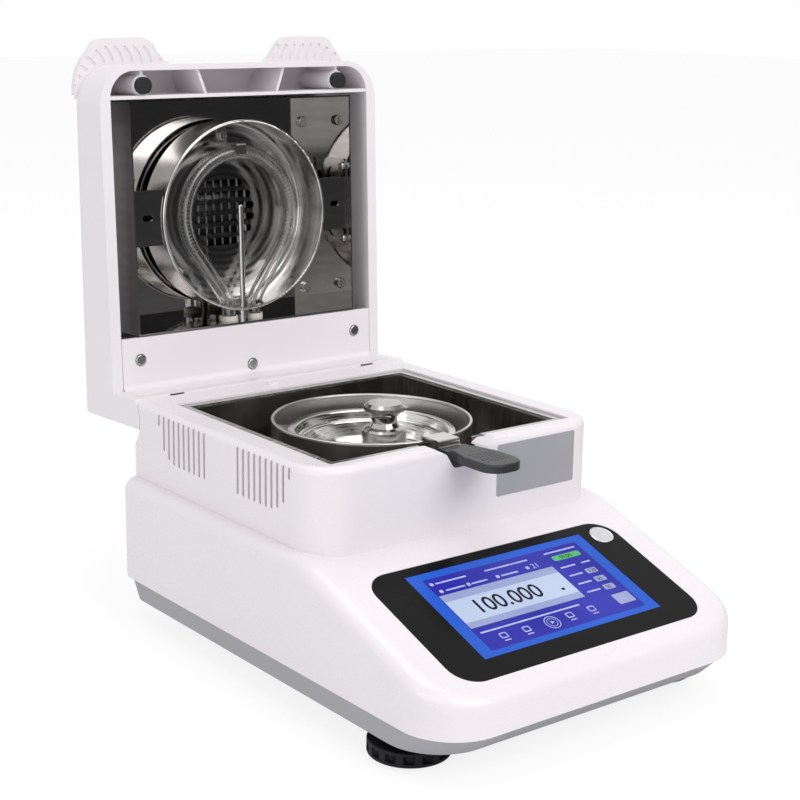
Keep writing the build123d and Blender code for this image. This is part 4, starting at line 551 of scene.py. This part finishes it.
FLOOR_HALF = 6.0
FLOOR_GAP = 0.0002
FLOOR_COLOUR = (0.90, 0.90, 0.91, 1)
FLOOR_GLOW = 1.06
FLOOR_GLOW_SHARE = 0.8
BRIGHT_SIDE = (-0.7071, 0.7071, 0.0)
WORLD_LIGHT = 0.62
WORLD_DARK = 0.58
CAMERA_TURN = radians(38.14)
CAMERA_DOWN = radians(13.91)
CAMERA_ROLL = radians(0.85)
CAMERA_SPOT = (-491.1, -647.9, 321.3)
SENSOR = 36.0
FOCAL_PIXELS = 1681.97
PICTURE_PIXELS = 800

def math_node(tree, operation, *values, clamp=False):
    """Arithmetic on numbers or on the sockets of other nodes."""
    node = tree.nodes.new("ShaderNodeMath")
    node.operation = operation
    node.use_clamp = clamp
    for socket, value in zip(node.inputs, values):
        if isinstance(value, (int, float)):
            socket.default_value = value
        else:
            tree.links.new(value, socket)
    return node.outputs[0]


def side_share(tree, vector, dark, bright):
    """0 towards the right front of the studio and 1 towards the left and the back."""
    dot = tree.nodes.new("ShaderNodeVectorMath")
    dot.operation = "DOT_PRODUCT"
    dot.inputs[1].default_value = BRIGHT_SIDE
    tree.links.new(vector, dot.inputs[0])
    share = tree.nodes.new("ShaderNodeMapRange")
    share.interpolation_type = "SMOOTHSTEP"
    share.inputs["From Min"].default_value = dark
    share.inputs["From Max"].default_value = bright
    tree.links.new(dot.outputs["Value"], share.inputs["Value"])
    return share.outputs["Result"]


def floor_material():
    """Pale floor that the camera sees as near white, and that polished metal sees dark at the front."""
    mat = bpy.data.materials.new("pale_floor")
    mat.use_nodes = True
    tree = mat.node_tree
    shader = tree.nodes["Principled BSDF"]
    shader.inputs["Roughness"].default_value = 0.7
    path = tree.nodes.new("ShaderNodeLightPath")
    spot = tree.nodes.new("ShaderNodeNewGeometry")
    open_side = side_share(tree, spot.outputs["Position"], -0.55, 0.05)
    lit_share = math_node(tree, "MULTIPLY_ADD", open_side, 0.94, 0.06)
    dark_share = math_node(tree, "SUBTRACT", 1.0, lit_share)
    tone = tree.nodes.new("ShaderNodeMix")
    tone.data_type = "RGBA"
    tone.inputs[6].default_value = FLOOR_COLOUR
    tone.inputs[7].default_value = (0.0, 0.0, 0.0, 1)
    tree.links.new(math_node(tree, "MULTIPLY", dark_share, path.outputs["Is Glossy Ray"]), tone.inputs[0])
    tree.links.new(tone.outputs[2], shader.inputs["Base Color"])
    glow = tree.nodes.new("ShaderNodeEmission")
    glow.inputs["Color"].default_value = (1, 1, 1, 1)
    glow.inputs["Strength"].default_value = FLOOR_GLOW
    seen = math_node(tree, "MAXIMUM", path.outputs["Is Camera Ray"], path.outputs["Is Transmission Ray"])
    mix = tree.nodes.new("ShaderNodeMixShader")
    tree.links.new(math_node(tree, "MULTIPLY", seen, FLOOR_GLOW_SHARE), mix.inputs["Fac"])
    tree.links.new(shader.outputs[0], mix.inputs[1])
    tree.links.new(glow.outputs[0], mix.inputs[2])
    tree.links.new(mix.outputs[0], tree.nodes["Material Output"].inputs["Surface"])
    return mat


def make_stage():
    mesh = bpy.data.meshes.new("floor")
    corners = [(x * FLOOR_HALF, y * FLOOR_HALF, 0) for x, y in ((-1, -1), (1, -1), (1, 1), (-1, 1))]
    mesh.from_pydata(corners, [], [(0, 1, 2, 3)])
    mesh.materials.append(floor_material())
    floor = bpy.data.objects.new("floor", mesh)
    floor.location.z = cad_box[0][2] - FLOOR_GAP
    bpy.context.collection.objects.link(floor)


def make_world():
    """White to the camera, softer as light, and dark at the right front to polished metal."""
    world = bpy.data.worlds.new("studio")
    bpy.context.scene.world = world
    world.use_nodes = True
    tree = world.node_tree
    back = tree.nodes["Background"]
    back.inputs["Color"].default_value = (1, 1, 1, 1)
    path = tree.nodes.new("ShaderNodeLightPath")
    coord = tree.nodes.new("ShaderNodeTexCoord")
    mirrored = path.outputs["Is Glossy Ray"]
    bright_side = side_share(tree, coord.outputs["Generated"], -0.85, -0.25)
    bright = math_node(tree, "MULTIPLY", mirrored, bright_side)
    dark = math_node(tree, "SUBTRACT", mirrored, bright, clamp=True)
    seen = math_node(tree, "MAXIMUM", path.outputs["Is Camera Ray"], path.outputs["Is Transmission Ray"])
    level = tree.nodes.new("ShaderNodeMapRange")
    level.inputs["To Min"].default_value = WORLD_LIGHT
    level.inputs["To Max"].default_value = 1.0
    tree.links.new(math_node(tree, "MAXIMUM", seen, bright), level.inputs["Value"])
    drop = math_node(tree, "MULTIPLY", dark, WORLD_DARK)
    tree.links.new(math_node(tree, "SUBTRACT", level.outputs["Result"], drop), back.inputs["Strength"])


def area_light(name, spot, aim, size, power):
    data = bpy.data.lights.new(name, "AREA")
    data.shape = "RECTANGLE"
    data.size = size[0]
    data.size_y = size[1]
    data.energy = power
    lamp = bpy.data.objects.new(name, data)
    lamp.location = spot
    lamp.rotation_euler = (Vector(aim) - Vector(spot)).to_track_quat("-Z", "Y").to_euler()
    bpy.context.collection.objects.link(lamp)


def make_camera():
    level = cos(CAMERA_DOWN)
    ahead = Vector((sin(CAMERA_TURN) * level, cos(CAMERA_TURN) * level, -sin(CAMERA_DOWN)))
    right = ahead.cross(Vector((0, 0, 1))).normalized()
    up = right.cross(ahead)
    side = right * cos(CAMERA_ROLL) + up * sin(CAMERA_ROLL)
    top = up * cos(CAMERA_ROLL) - right * sin(CAMERA_ROLL)
    matrix = Matrix((side, top, -ahead)).transposed().to_4x4()
    matrix.translation = place(*CAMERA_SPOT)
    data = bpy.data.cameras.new("camera")
    data.sensor_fit = "HORIZONTAL"
    data.sensor_width = SENSOR
    data.lens = SENSOR * FOCAL_PIXELS / PICTURE_PIXELS
    data.clip_start = 0.01
    data.clip_end = 50
    camera = bpy.data.objects.new("camera", data)
    camera.matrix_world = matrix
    bpy.context.collection.objects.link(camera)
    bpy.context.scene.camera = camera


make_stage()
make_world()
area_light("key", (0.3, -1.5, 1.4), (0, 0, 0.1), (1.6, 1.0), 17)
area_light("left", (-1.7, -0.4, 0.5), (0, 0, 0.08), (0.9, 0.9), 4.5)
area_light("top", (0.0, 0.2, 1.9), (0, 0, 0.1), (1.4, 1.0), 7)
make_camera()
bpy.context.scene.view_settings.view_transform = "Standard"
